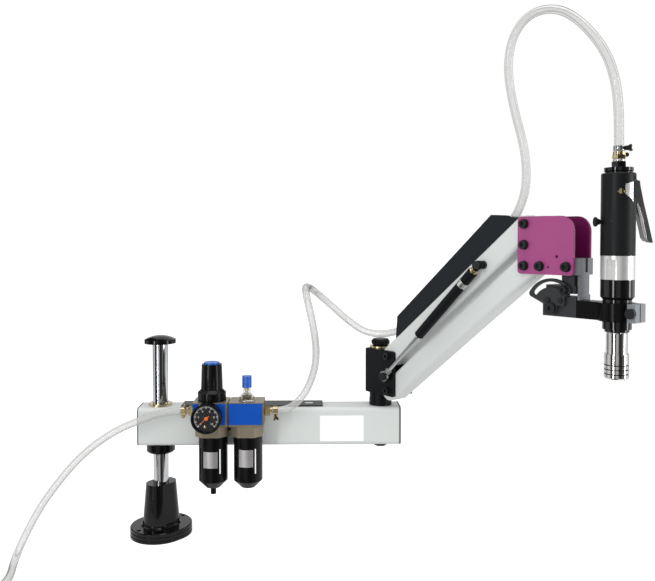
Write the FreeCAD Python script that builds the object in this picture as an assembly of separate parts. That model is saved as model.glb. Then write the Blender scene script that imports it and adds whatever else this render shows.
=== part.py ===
"""Pneumatic arm tapping machine.

A column stands in a round cast base. A lower arm turns about the column and rests on a clamp
collar. At its far end a swivel block turns on a post and carries two parallel links, which keep
the tapping head upright while a gas spring balances it. The head carries an air motor in a clamp
ring that tilts about an arc-slotted plate. A filter-regulator and an oiler feed the motor through
a clear hose.

Millimetres, +Z up, +X along the lower arm. The origin is on the bench face of the base, on the
axis of the column. The upper arm is built straight ahead in a frame of its own, and then swung
and lifted to the pose that is shown.
"""
import FreeCAD, Part
import math
import os
from FreeCAD import Vector

# Pose shown
swing_deg = 51.7            # upper arm turned towards the operator, from straight ahead
lift_deg = 38.8             # links raised above level

# Shared values
cut_over = 2.0              # how far a cutting tool runs past the face it cuts
turn_fit = 0.05             # radial clearance of a bush or pin
side_gap = 0.5              # side clearance between plates that move past each other
seat_gap = 0.2              # clearance of a part that is pushed in by hand

# Base casting and column
base_r = 56.0
base_reach = 6.0            # the flange is an oval: its two ends are this far from the middle
base_turn_deg = 48.0        # long way of the oval, from +X towards +Y
base_h = 20.0
base_edge = 1.5
base_groove_h = 2.0
base_groove_depth = 1.2
base_groove_low = 5.0
base_groove_high = 12.0
base_bolt_circle_r = 54.0
base_bolt_hole_r = 4.5
boss_reach = 8.5
boss_foot_r = 29.4
boss_top_r = 22.7
boss_top_z = 104.0
boss_cove_r = 3.0
column_r = 15.0
column_seat_z = 4.0
column_cap_z = 383.0        # underside of the cap
column_cap_r = 30.8
column_cap_rim_h = 7.5
column_cap_h = 15.7
column_cap_hold = 8.0       # how far the column reaches into the cap

# Height collar
collar_z = 165.6            # underside, with the arm at the height shown
collar_h = 18.0
collar_r = 28.0
collar_edge = 3.0
collar_slit = 2.5
collar_screw_r = 3.0
collar_screw_head_r = 5.0
collar_screw_head_h = 6.0
collar_screw_y = 21.5
collar_screw_reach = 15.0   # from the slit to the end of the screw

# Lower arm
arm_x0 = -38.0
arm_x1 = 474.0
arm_half_w = 30.5
arm_h = 75.0
arm_wall = 4.0
arm_corner_r = 8.0
arm_sleeve_r = 22.0
arm_bush_r = 18.0
arm_bush_length = 25.0
arm_bush_flange_r = 22.9
arm_bush_flange_h = 5.0
arm_cap_left_t = 2.5
arm_cap_right_t = 4.0
arm_cap_plug = 10.0
arm_cap_plug_wall = 2.5

# Swivel post at the end of the lower arm
post_x = 440.0
post_r = 10.0
post_boss_r = 18.0
post_head_r = 13.0
post_head_h = 7.6
bearing_r = 22.4
bearing_h = 13.4
spacer_r = 21.8
spacer_h = 13.5

# Swivel block, in the frame of the upper arm: origin on the post, +X outward along the arm
block_back = 16.0           # behind the post axis
block_front = 63.6          # in front of the post axis
block_half_w = 26.0
block_h = 87.8
block_corner_r = 6.0
block_slot_start = 23.5
block_bush_r = 13.0
block_bush_flange_r = 22.0
block_bush_flange_h = 3.7
pivot_a = 46.0              # link pivots in front of the post axis
pivot_low_up = 10.5         # lower pivot above the underside of the block
pivot_spacing = 67.0
pin_r = 6.0
pin_head_r = 6.8
pin_head_h = 6.0
pin_socket_r = 3.4
pin_socket_depth = 3.5
stud_drop = 38.0            # spring stud below the upper pivot
stud_r = 4.0
stud_head_r = 7.5
stud_head_h = 5.0
stud_shoulder_r = 7.0

# Clamp knob on the post
knob_r = 18.5
knob_h = 13.5
knob_edge = 4.0
knob_flutes = 6
knob_flute_r = 5.0
knob_hold = 10.0            # how far the post reaches into the knob
knob_gap = 0.2              # knob above the flange of the bush

# Links
link_length = 402.0
link_half = 20.0            # half the width and half the height of the square tube
link_wall = 3.0
link_corner_r = 7.0
link_nose_up = 13.5         # the upper link's end is cut level here, above its pivot
link_bush_r = 9.5

# Hose cover on the upper link: along the link from its lower pivot, and up from its centre line
cover_wall = 2.0
cover_foot_s = 37.0
cover_left_s = 66.0
cover_left_t = 48.5
cover_right_s = 357.0
cover_right_t = 57.0
cover_nose_s = 396.0
cover_foot_lift = 0.2       # cover wall above the tube's rounded edge

# Gas spring
spring_s = 293.0            # upper bolt along the upper link
spring_off = 14.0           # spring axis in front of the link's side
spring_body_r = 9.0
spring_body_length = 172.0
spring_rod_r = 3.5
spring_top_gap = 18.0       # from the upper bolt to the spring body
spring_socket_r = 5.5
spring_travel = 36.0        # how far the rod can be pushed in
spring_play = 3.0           # left in the body when it is
spring_eye_r = 10.4
spring_eye_hole_r = 7.4
spring_eye_t = 6.0
spring_bolt_r = 4.0
spring_bolt_shoulder_r = 5.5
spring_bolt_head_r = 6.5
spring_bolt_head_h = 6.0
spring_nut_r = 7.0
spring_nut_t = 5.0
spring_top_eye_r = 7.5
rod_tip_r = 6.0
rod_tip_length = 10.0

# Tapping head, from the upper link pivot: +X outward, +Z up
plate_gap_half = 20.5       # inner face of each cheek plate from the middle
plate_t = 4.5
plate_back = 13.0
plate_front = 88.6
plate_up = 11.7
plate_down = 80.0
plate_nose_r = 24.0
plate_corner_r = 6.0
sight_hole_x = 59.5
sight_hole_down = 51.5
sight_hole_r = 2.6
pin_hole_x = 44.5
pin_hole_down = 68.0
pin_hole_r = 2.0
head_bolt_r = 4.0
head_bolt_head_r = 7.0
head_bolt_head_h = 5.2
head_washer_r = 8.0
head_washer_t = 1.6
head_socket_r = 3.4
head_socket_depth = 2.6
stop_sleeve_r = 5.0
level_bolt_x = 29.3
level_sleeve_r = 8.0
block_bolt_x = 76.8
nose_back = 62.0
nose_front = 94.2
nose_up = 53.6              # top of the nose block below the upper pivot
nose_down = 79.0
nose_slot_w = 7.0
nose_slot_depth = 12.0
nose_slot_y = 3.0
nose_slot_stop = 4.0

# Tilt bracket, stop post and arc-slotted plate
tilt_x = 46.3
tilt_down = 132.3
tilt_half_w = 14.0
tilt_neck_back = 62.0
tilt_neck_front = 84.0
tilt_flange_back = 34.0
tilt_flange_front = 86.5
tilt_flange_top = 96.0
tilt_flange_bottom = 108.5
tilt_lug_r = 13.0
tilt_lug_t = 11.0
tilt_gap = 0.5
tilt_bolt_r = 5.0
tilt_bolt_head_r = 9.0
tilt_bolt_head_h = 4.5
lock_angle_deg = 51.9
sector_slot_r = 37.2
sector_slot_half_w = 4.3
sector_sweep_deg = 90.0
sector_r = 46.5
sector_t = 5.0
sector_hub_r = 11.0
sector_screw_x = 11.3       # half the spacing of the two small screws
sector_screw_off = 5.6      # their middle in front of the tilt pivot
sector_screw_z = 12.4
sector_screw_r = 2.5
sector_screw_head_r = 4.2
sector_screw_head_h = 2.4
sector_foot_back = 13.0     # foot of the plate, on the pivot block
sector_foot_front = 24.0
sector_foot_low = 4.5
sector_foot_r = 4.0
sector_screw_length = 9.0
lock_bolt_r = 4.0
lock_head_r = 6.5
lock_head_h = 3.6
lock_washer_r = 8.0
lock_washer_t = 1.6
stop_t = 6.6
stop_half_w = 10.8
stop_foot_t = 5.0
stop_foot_h = 8.2

# Clamp arm and ring
grey_back = 18.0            # pivot block behind the tilt pivot
grey_front = 41.0
grey_corner_r = 3.0
grey_back_corner_r = 8.0    # lets the block turn under the flange
grey_top = 19.3
grey_bottom = 12.7
bar_top = 14.3
bar_seat_gap = 0.3          # stop foot above the bar
tool_x = 146.3
ring_r = 26.5
ring_bore_r = 20.6
ear_front = 36.0
ear_half_w = 15.0
ear_slit = 3.0
ear_screw_x = 30.5
ear_screw_r = 4.0
ear_screw_head_r = 7.5
ear_screw_head_h = 5.6

# Air motor, heights above the underside of the clamp ring
nose_collar_r = 20.6
nose_collar_low = 16.0      # how far the nose reaches below the ring
nose_tip_r = 17.5
nose_tip_h = 4.0
motor_neck_h = 5.0          # plain neck above the ring
motor_taper_h = 4.0
ring_nut_r = 24.0
ring_nut_h = 25.4
sleeve_r = 24.1
sleeve_h = 35.2
sleeve_flat_depth = 2.2
sleeve_flat_h = 22.0
grip_r = 24.5
grip_h = 121.0
grip_edge = 1.5
top_ring_r = 20.6
top_ring_h = 8.0
inlet_nut_r = 10.6
inlet_nut_h = 9.0
lever_turn_deg = 51.7       # lever round the motor, from the arm's direction
lever_pivot_x = 17.0
lever_pivot_down = 7.5      # below the top of the grip
lever_pin_r = 2.5
lever_hub_r = 4.0
lever_half_w = 6.0
lever_slot_gap = 0.4
lever_slot_x = 12.0         # bottom of the lever's slot, from the motor axis
lever_slot_top = 3.0        # both ends of the slot, below the top of the grip
lever_slot_low = 66.0

# Notch in the side of the grip: out from the motor axis, and down from the top of the grip
grip_notch = [
    (8.6, 18.8),
    (8.6, 34.0),
    (16.2, 36.6),
    (21.6, 40.2),
    (24.0, 45.5),
]
grip_notch_mouth = 8.8

# Outline of the throttle lever in the same terms, outer blade first, then the thin inner one
lever_outer_blade = [
    (26.5, 10.9),
    (29.1, 10.9),
    (30.3, 19.2),
    (35.4, 43.4),
    (42.2, 70.7),
    (49.0, 99.2),
    (49.5, 102.3),
    (43.9, 101.3),
    (41.4, 89.7),
    (35.7, 66.5),
    (30.7, 49.7),
    (27.4, 40.9),
]
lever_inner_blade = [
    (24.6, 42.0),
    (25.9, 44.4),
    (29.2, 51.8),
    (34.7, 70.7),
    (39.2, 89.7),
    (41.5, 100.2),
    (39.9, 100.2),
    (35.6, 94.9),
    (32.8, 82.3),
    (29.4, 68.6),
    (26.0, 53.9),
    (23.2, 45.5),
    (19.9, 37.1),
    (18.7, 22.4),
    (18.1, 15.1),
]

# Reversing button
button_down = 71.4          # below the top of the grip
button_stem_r = 3.0
button_head_r = 7.0
button_head_t = 7.0
button_rim_t = 2.5
button_waist_r = 4.3
button_waist_t = 2.0
button_travel = 3.5
button_hold = 12.0

# Spindle and quick-change chuck
shank_r = 8.0
shank_gap = 1.5
chuck_r = 15.2
chuck_h = 31.0
chuck_bore_r = 9.5
chuck_bore_depth = 40.0
chuck_sleeve_r = 17.3
chuck_sleeve_edge = 2.0
chuck_sleeve_h = 37.0
chuck_core_r = 13.5
chuck_travel = 4.0
chuck_groove_h = 2.2
chuck_groove_depth = 1.2
chuck_groove_count = 3
chuck_groove_pitch = 6.6

# Filter-regulator and oiler, side by side in front of the lower arm
frl_pitch = 67.0
frl_x = 110.4               # axis of the filter-regulator
frl_back_gap = 3.0          # bracket between the bodies and the arm
frl_depth = 54.0
frl_port_z = 260.0
frl_body_low = 25.0         # widest part, below the port axis
frl_body_bottom = 46.0
frl_top = 21.0
frl_skirt_chamfer = 15.0
frl_skirt_inset = 3.0
name_plate_t = 2.0
name_plate_up = 19.4
name_plate_down = 20.3
regulator_plate_insets = (0.5, 5.5)     # from the left and right sides of the body
oiler_plate_insets = (1.0, 3.0)
frl_seam = 1.9              # groove where the two bodies meet
frl_seam_depth = 5.0
bracket_t = 3.0
bracket_x0 = 44.5
bracket_x1 = 323.7
bracket_half_w = 22.0
bracket_drop = 44.0
bracket_lug_half = 35.0
bonnet_r = 27.0
bonnet_h = 22.0
bonnet_neck_h = 6.0
bonnet_ribs = 12
bonnet_rib_r = 2.2
regulator_knob_r = 20.8
regulator_knob_top_r = 19.2
regulator_knob_h = 47.8
regulator_knob_flutes = 10
regulator_knob_flute_r = 2.0
regulator_disc_r = 14.5
regulator_disc_t = 3.0
regulator_lift = 0.3        # running gap under the knob
gauge_x_off = -5.2
gauge_z_off = -4.2
gauge_r = 28.2
gauge_depth = 18.0
gauge_neck_r = 7.0
gauge_neck_length = 4.0
gauge_rim = 2.6
gauge_recess = 5.0
needle_t = 0.8
needle_hub_r = 3.0
needle_half_w = 1.0
needle_tip_half_w = 0.25
needle_length = 18.0
needle_tail = 7.0
needle_turn_deg = 222.0     # where the needle points, from +X towards +Z
needle_gap = 0.8
bowl_x_off = 2.0            # bowls right of the middle of the bodies
bowl_guard_r = 27.6
bowl_guard_wall = 1.8
bowl_r = 24.4
bowl_wall = 2.4
bowl_length = 100.0
bowl_nose = 14.0
bowl_nose_r = 14.0
guard_slot_w = 4.5
guard_slot_low = 30.0
guard_slot_high = 79.0
guard_slots = 4
guard_slot_turn_deg = -55.0 # first slot, from +X
drain_r = 5.3
drain_h = 14.0
drain_neck_r = 3.5
drain_hold = 6.0
drain_gap = 0.4
dome_base_r = 15.0
dome_base_h = 13.0
dome_shoulder = 1.0
dome_r = 7.5
dome_h = 11.6
oil_knob_r = 9.2
oil_knob_h = 22.4
oil_knob_flutes = 8
oil_knob_flute_r = 1.3

# Hoses and their fittings
hose_r = 7.0
fitting_nut_r = 9.8
fitting_nut_length = 11.0
fitting_neck_r = 6.2
fitting_neck_length = 4.0
band_t = 1.7
band_length = 9.0
band_back = 1.5             # band from the end of the hose
band_screw_r = 3.2
band_screw_length = 9.0
arm_hose_rise = 7.4         # hose centre above the top of the link
arm_hose_start = 100.0
arm_hose_end = 330.0
arm_hose_mouth = 37.0       # straight run of a hose inside the cover, from either end
run_share = 0.45

# Route of the supply hose, from its fitting out over the bench
supply_points = [
    (62.0, -60.5, 260.0),
    (26.0, -60.5, 260.0),
    (-20.0, -62.0, 246.0),
    (-77.0, -68.0, 223.0),
    (-140.0, -71.0, 177.0),
    (-199.0, -88.0, 103.0),
    (-230.0, -103.0, 44.0),
    (-237.0, -146.0, 7.0),
    (-218.0, -210.0, 7.0),
    (-221.0, -270.0, 7.0),
    (-221.0, -330.0, 7.0),
]
coil_radius = 100.0
coil_pitch = 16.0
coil_half_turns = 5
coil_end_radius = 45.0
coil_end_turn_deg = 120.0
coil_end_run = 14.0
coupling_r = 9.5
coupling_length = 38.0
coupling_bore_r = 4.5
coupling_bore_depth = 14.0

# Route of the feed hose, from the oiler up and over to the upper link
feed_points = [
    (225.0, -60.5, 260.0),
    (246.5, -60.5, 260.0),
    (270.0, -59.0, 270.0),
    (297.0, -53.0, 303.0),
    (313.0, -69.0, 363.0),
    (304.0, -94.0, 434.0),
    (289.0, -67.0, 492.0),
    (292.0, -2.0, 499.0),
    (334.0, 32.0, 462.0),
    (376.0, 2.0, 425.0),
    (413.0, -16.0, 402.0),
    (460.0, -36.0, 405.0),
]

# Route of the loop to the motor, from the upper link pivot at the head: outward, up
loop_points = [
    (-21.0, 38.0),
    (-14.0, 73.0),
    (-18.0, 122.0),
    (-42.0, 195.0),
    (-55.0, 260.0),
    (-46.0, 310.0),
    (-15.0, 341.0),
    (34.0, 341.0),
    (77.0, 314.0),
    (121.0, 261.0),
    (141.0, 208.0),
    (146.3, 149.0),
]

# Worked out from the sizes above
arm_z0 = collar_z + collar_h
arm_z1 = arm_z0 + arm_h
block_z0 = arm_z1 + bearing_h + spacer_h
block_z1 = block_z0 + block_h
low_pivot_z = block_z0 + pivot_low_up
high_pivot_z = low_pivot_z + pivot_spacing
lift = math.radians(lift_deg)
head_a = pivot_a + link_length * math.cos(lift)
head_z = high_pivot_z + link_length * math.sin(lift)
plate_outer = plate_gap_half + plate_t
ring_z0 = -tilt_down - grey_bottom
ring_z1 = -tilt_down + bar_top
frl_y = -arm_half_w - frl_back_gap - frl_depth / 2
frl_front = frl_y - frl_depth / 2
oiler_x = frl_x + frl_pitch
frl_body_half = frl_pitch / 2
skirt_bottom_z = frl_port_z - frl_body_bottom
frl_top_z = frl_port_z + frl_top
x_axis = Vector(1, 0, 0)
y_axis = Vector(0, 1, 0)
z_axis = Vector(0, 0, 1)
origin = Vector(0, 0, 0)


def rod(radius, start, end):
    """A round bar between two points."""
    along = end.sub(start)
    return Part.makeCylinder(radius, along.Length, start, along)


def pin_z(radius, z0, z1, x=0.0, y=0.0):
    return rod(radius, Vector(x, y, z0), Vector(x, y, z1))


def pin_y(radius, y0, y1, x=0.0, z=0.0):
    return rod(radius, Vector(x, y0, z), Vector(x, y1, z))


def pin_x(radius, x0, x1, y=0.0, z=0.0):
    return rod(radius, Vector(x0, y, z), Vector(x1, y, z))


def ring_of(outer, inner, z0, z1, x=0.0, y=0.0):
    """An upright ring."""
    return pin_z(outer, z0, z1, x, y).cut(pin_z(inner, z0 - cut_over, z1 + cut_over, x, y))


def block(x0, x1, y0, y1, z0, z1):
    return Part.makeBox(x1 - x0, y1 - y0, z1 - z0, Vector(x0, y0, z0))


def outline(start, *moves):
    """A closed wire in the XZ plane: a move is a point, or a point on an arc and its end."""
    edges = []
    here = Vector(start[0], 0, start[1])
    for move in moves + (start,):
        end = Vector(move[-2], 0, move[-1])
        if len(move) == 2:
            if end.distanceToPoint(here) > 0:
                edges.append(Part.makeLine(here, end))
        else:
            edges.append(Part.Arc(here, Vector(move[0], 0, move[1]), end).toShape())
        here = end
    return Part.Wire(edges)


def rounded(*corners):
    """A closed wire in the XZ plane through corners of (x, z, radius)."""
    moves = []
    for index, (x, z, radius) in enumerate(corners):
        here = Vector(x, 0, z)
        if radius == 0:
            moves.append((x, z))
            continue
        before = Vector(corners[index - 1][0], 0, corners[index - 1][1]).sub(here).normalize()
        following = corners[(index + 1) % len(corners)]
        after = Vector(following[0], 0, following[1]).sub(here).normalize()
        half = before.getAngle(after) / 2
        inward = before.add(after).normalize()
        first = here.add(before * (radius / math.tan(half)))
        last = here.add(after * (radius / math.tan(half)))
        middle = here.add(inward * (radius / math.sin(half) - radius))
        moves.append((first.x, first.z))
        moves.append((middle.x, middle.z, last.x, last.z))
    return outline(moves[0], *moves[1:])


def slab(wire, y0, y1):
    """A plate between two depths, from an outline in the XZ plane."""
    face = Part.Face(wire)
    face.translate(Vector(0, y0, 0))
    return face.extrude(Vector(0, y1 - y0, 0))


def spin(wire, x=0.0, y=0.0):
    """A turned solid from an outline of radius and height."""
    solid = Part.Face(wire).revolve(origin, z_axis, 360)
    solid.translate(Vector(x, y, 0))
    return solid


def hexagon(radius, z0, z1):
    """An upright hexagon with corners at this radius."""
    corners = [Vector(radius * math.cos(math.radians(turn)), radius * math.sin(math.radians(turn)), z0)
               for turn in range(0, 361, 60)]
    return Part.Face(Part.makePolygon(corners)).extrude(Vector(0, 0, z1 - z0))


def join(first, *others):
    shape = first
    for other in others:
        shape = shape.fuse(other)
    return shape.removeSplitter()


def round_edges(shape, radius, wanted):
    """Fillets the edges whose middle point passes the test."""
    edges = [edge for edge in shape.Edges if wanted(edge, edge.valueAt(
        (edge.FirstParameter + edge.LastParameter) / 2))]
    return shape.makeFillet(radius, edges)


def bar(x0, x1, half_w, z0, z1, corner):
    """A bar along X with rounded long edges."""
    plain = block(x0, x1, -half_w, half_w, z0, z1)
    return round_edges(plain, corner, lambda edge, middle: abs(edge.tangentAt(0).x) > run_share)


def flutes(count, circle_r, radius, z0, z1, start_deg=0.0):
    """Upright round cutters on a circle."""
    cutters = []
    for index in range(count):
        turn = math.radians(start_deg + 360 * index / count)
        cutters.append(pin_z(radius, z0, z1, circle_r * math.cos(turn), circle_r * math.sin(turn)))
    return Part.makeCompound(cutters)


def turned(shape, axis, degrees, about=origin):
    shape.rotate(about, axis, degrees)
    return shape


def moved(shape, x=0.0, y=0.0, z=0.0):
    shape.translate(Vector(x, y, z))
    return shape


def on_arm(shape):
    """From the frame of the upper arm to the machine."""
    return moved(turned(shape, z_axis, -swing_deg), post_x)


def on_link(shape, pivot_z):
    """From the frame of a link, along X from its pivot, to the machine."""
    return on_arm(moved(turned(shape, y_axis, -lift_deg), pivot_a, 0.0, pivot_z))


def on_head(shape):
    """From the frame of the tapping head to the machine."""
    return on_arm(moved(shape, head_a, 0.0, head_z))


def on_tool(shape):
    """From the frame of the motor, lever towards +X and ring underside at zero, to the machine."""
    return on_head(moved(turned(shape, z_axis, lever_turn_deg), tool_x, 0.0, ring_z0))


def save(name, *solids):
    """Writes one piece, or a group of like pieces, under its name."""
    shape = solids[0] if len(solids) == 1 else Part.makeCompound(list(solids))
    count = len(shape.Solids)
    if not shape.isValid() or count != len(solids):
        print("CHECK", name, "valid", shape.isValid(), "solids", count, "expected", len(solids))
    shape.exportStep(f"parts/{name}.step")


def oval(reach, *profile):
    """A solid with an oval plan: an outline of half width and height, run out both ways along Y."""
    ends = [spin(outline(*profile), 0.0, way * reach) for way in (-1, 1)]
    mirrored = [tuple(value if index % 2 else -value for index, value in enumerate(move))
                for move in profile[1:-1]]
    right = list(profile)
    left = mirrored[::-1]
    return join(slab(outline(*right, *left), -reach, reach), *ends)


def stand():
    groove_r = base_r - base_groove_depth
    flange = oval(base_reach, (0.0, 0.0), (base_r, 0.0), (base_r, base_groove_low),
                  (groove_r, base_groove_low), (groove_r, base_groove_low + base_groove_h),
                  (base_r, base_groove_low + base_groove_h), (base_r, base_groove_high),
                  (groove_r, base_groove_high), (groove_r, base_groove_high + base_groove_h),
                  (base_r, base_groove_high + base_groove_h), (base_r, base_h - base_edge),
                  (base_r - base_edge, base_h), (0.0, base_h))
    boss = oval(boss_reach, (0.0, base_h), (boss_foot_r + boss_cove_r, base_h),
                (boss_foot_r, base_h + boss_cove_r), (boss_top_r, boss_top_z), (0.0, boss_top_z))
    body = join(flange, boss).cut(pin_z(column_r, column_seat_z, boss_top_z + cut_over))
    for way in (-1, 1):
        body = body.cut(pin_z(base_bolt_hole_r, -cut_over, base_h + cut_over, 0.0,
                              way * base_bolt_circle_r))
    save("base_casting", turned(body, z_axis, base_turn_deg - 90.0))
    save("column", pin_z(column_r, column_seat_z, column_cap_z + column_cap_hold))
    rim_z = column_cap_z + column_cap_rim_h
    dome_z = column_cap_z + column_cap_h
    dome_r = ((dome_z - rim_z) ** 2 + column_cap_r ** 2) / (2 * (dome_z - rim_z))
    dome_half = math.asin(column_cap_r / dome_r) / 2
    dome_mid_r = dome_r * math.sin(dome_half)
    dome_mid_z = dome_z - dome_r + dome_r * math.cos(dome_half)
    save("column_cap", spin(outline(
        (0.0, dome_z), (0.0, column_cap_z + column_cap_hold), (column_r, column_cap_z + column_cap_hold),
        (column_r, column_cap_z), (column_cap_r, column_cap_z), (column_cap_r, rim_z),
        (dome_mid_r, dome_mid_z, 0.0, dome_z))))


def height_collar():
    ring = spin(outline(
        (column_r + turn_fit, collar_z), (collar_r - collar_edge, collar_z),
        (collar_r, collar_z + collar_edge), (collar_r, arm_z0), (column_r + turn_fit, arm_z0)))
    slit = block(-collar_slit / 2, collar_slit / 2, 0.0, collar_r + cut_over,
                 collar_z - cut_over, arm_z0 + cut_over)
    middle = collar_z + collar_h / 2
    head_x = collar_slit / 2 + collar_screw_reach / 2
    way = pin_x(collar_screw_r, -head_x - collar_screw_reach / 2, head_x, collar_screw_y, middle)
    counterbore = pin_x(collar_screw_head_r + seat_gap, head_x, collar_r, collar_screw_y, middle)
    save("height_collar", ring.cut(slit).cut(way).cut(counterbore))
    screw = join(way, pin_x(collar_screw_head_r, head_x, head_x + collar_screw_head_h,
                            collar_screw_y, middle))
    save("collar_screw", screw)


def lower_arm():
    outer = bar(arm_x0, arm_x1, arm_half_w, arm_z0, arm_z1, arm_corner_r)
    inner = bar(arm_x0 - cut_over, arm_x1 + cut_over, arm_half_w - arm_wall, arm_z0 + arm_wall,
                arm_z1 - arm_wall, arm_corner_r - arm_wall)
    sleeve = pin_z(arm_sleeve_r, arm_z0, arm_z1)
    boss = pin_z(post_boss_r, arm_z0, arm_z1, post_x)
    tube = join(outer.cut(inner), sleeve, boss)
    tube = tube.cut(pin_z(arm_bush_r, arm_z0 - cut_over, arm_z1 + cut_over))
    tube = tube.cut(pin_z(post_r, arm_z0 - cut_over, arm_z1 + cut_over, post_x))
    save("arm_tube", tube)

    caps = []
    for end, outward, thickness in ((arm_x0, -1, arm_cap_left_t), (arm_x1, 1, arm_cap_right_t)):
        face_x = sorted((end, end + outward * thickness))
        plug_x = sorted((end, end - outward * arm_cap_plug))
        cover = bar(face_x[0], face_x[1], arm_half_w, arm_z0, arm_z1, arm_corner_r)
        plug_out = arm_wall + seat_gap
        plug_in = plug_out + arm_cap_plug_wall
        plug = bar(plug_x[0], plug_x[1], arm_half_w - plug_out, arm_z0 + plug_out,
                   arm_z1 - plug_out, arm_corner_r - arm_wall)
        hollow_x = sorted((end, end - outward * (arm_cap_plug + cut_over)))
        hollow = block(hollow_x[0], hollow_x[1], -arm_half_w + plug_in, arm_half_w - plug_in,
                       arm_z0 + plug_in, arm_z1 - plug_in)
        caps.append(join(cover, plug.cut(hollow)))
    save("arm_end_caps", *caps)

    top_bush = join(ring_of(arm_bush_r, column_r + turn_fit, arm_z1 - arm_bush_length, arm_z1),
                    ring_of(arm_bush_flange_r, column_r + turn_fit, arm_z1,
                            arm_z1 + arm_bush_flange_h))
    low_bush = ring_of(arm_bush_r, column_r + turn_fit, arm_z0, arm_z0 + arm_bush_length)
    save("column_bushes", top_bush, low_bush)

    deck = block(bracket_x0, bracket_x1, -bracket_half_w, bracket_half_w, arm_z1,
                 arm_z1 + bracket_t)
    lug_x0 = frl_x + frl_pitch / 2 - bracket_lug_half
    lug_x1 = frl_x + frl_pitch / 2 + bracket_lug_half
    lug_y = -arm_half_w - frl_back_gap
    over = block(lug_x0, lug_x1, lug_y, -bracket_half_w, arm_z1, arm_z1 + bracket_t)
    down = block(lug_x0, lug_x1, lug_y, -arm_half_w, arm_z1 - bracket_drop, arm_z1 + bracket_t)
    save("service_bracket", join(deck, over, down))

    post_top = block_z1 + block_bush_flange_h + knob_gap + knob_hold
    save("swivel_post", join(hexagon_at(post_head_r, arm_z0 - post_head_h, arm_z0, post_x),
                             pin_z(post_r, arm_z0 - post_head_h, post_top, post_x)))
    low_race = ring_of(bearing_r, post_r, arm_z1, arm_z1 + bearing_h, post_x)
    high_race = ring_of(spacer_r, post_r, arm_z1 + bearing_h, block_z0, post_x)
    save("thrust_bearing", low_race, high_race)


def hexagon_at(radius, z0, z1, x):
    return moved(hexagon(radius, z0, z1), x)


def swivel_block():
    body = slab(rounded(
        (-block_back, block_z0, block_corner_r / 2), (block_front, block_z0, block_corner_r / 2),
        (block_front, block_z1, block_corner_r), (-block_back, block_z1, block_corner_r / 2)),
        -block_half_w, block_half_w)
    slot_half = link_half + side_gap
    slot = block(block_slot_start, block_front + cut_over, -slot_half, slot_half,
                 block_z0 - cut_over, block_z1 + cut_over)
    body = body.cut(slot)
    body = body.cut(pin_z(block_bush_r, block_z0 - cut_over, block_z1 + cut_over))
    for pivot_z in (low_pivot_z, high_pivot_z):
        body = body.cut(pin_y(pin_r, -block_half_w - cut_over, block_half_w + cut_over,
                              pivot_a, pivot_z))
    stud_z = high_pivot_z - stud_drop
    body = body.cut(pin_y(stud_r, -block_half_w - cut_over, -slot_half + cut_over, pivot_a, stud_z))
    save("swivel_block", on_arm(body))

    bush = join(ring_of(block_bush_r, post_r + turn_fit, block_z0, block_z1),
                ring_of(block_bush_flange_r, post_r + turn_fit, block_z1,
                        block_z1 + block_bush_flange_h))
    save("swivel_bush", on_arm(bush))

    pins = []
    for pivot_z in (low_pivot_z, high_pivot_z):
        shank = pin_y(pin_r, -block_half_w, block_half_w, pivot_a, pivot_z)
        heads = []
        for face, outward in ((-block_half_w, -1), (block_half_w, 1)):
            span = sorted((face, face + outward * pin_head_h))
            head = pin_y(pin_head_r, span[0], span[1], pivot_a, pivot_z)
            tip = face + outward * pin_head_h
            hole = sorted((tip + outward * cut_over, tip - outward * pin_socket_depth))
            heads.append(head.cut(pin_y(pin_socket_r, hole[0], hole[1], pivot_a, pivot_z)))
        pins.append(on_arm(join(shank, *heads)))

    eye_y = -link_half - spring_off
    inner_y = eye_y + spring_eye_t / 2 + side_gap
    outer_y = eye_y - spring_eye_t / 2 - side_gap
    stud = join(pin_y(stud_shoulder_r, inner_y, -block_half_w, pivot_a, stud_z),
                pin_y(stud_r, outer_y, -slot_half, pivot_a, stud_z),
                pin_y(stud_head_r, outer_y - stud_head_h, outer_y, pivot_a, stud_z))
    save("block_pins", *pins, on_arm(stud))

    knob_z = block_z1 + block_bush_flange_h + knob_gap
    knob = spin(outline(
        (post_r, knob_z), (knob_r - knob_edge, knob_z), (knob_r, knob_z + knob_edge),
        (knob_r, knob_z + knob_h - knob_edge), (knob_r - knob_edge, knob_z + knob_h),
        (0.0, knob_z + knob_h), (0.0, knob_z + knob_hold), (post_r, knob_z + knob_hold)), post_x)
    grips = flutes(knob_flutes, knob_r + knob_flute_r / 2, knob_flute_r, knob_z - cut_over,
                   knob_z + knob_h + cut_over)
    save("swivel_knob", knob.cut(moved(grips, post_x)))


def link_tube():
    """A square tube with ends rounded about its two pivots, along X from the first."""
    end_r = link_half
    profile = outline((0.0, -end_r), (link_length, -end_r), (link_length + end_r, 0.0,
                      link_length, end_r), (0.0, end_r), (-end_r, 0.0, 0.0, -end_r))
    outer = bar(-end_r - cut_over, link_length + end_r + cut_over, link_half, -link_half,
                link_half, link_corner_r)
    hollow = link_half - link_wall
    inner = bar(-end_r - 2 * cut_over, link_length + end_r + 2 * cut_over, hollow, -hollow,
                hollow, link_corner_r - link_wall)
    tube = outer.cut(inner).common(slab(profile, -link_half, link_half))
    for x in (0.0, link_length):
        tube = join(tube, pin_y(link_bush_r, -link_half, link_half, x))
        tube = tube.cut(pin_y(pin_r + turn_fit if x == 0.0 else head_bolt_r + turn_fit,
                              -link_half - cut_over, link_half + cut_over, x))
    return tube


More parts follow.
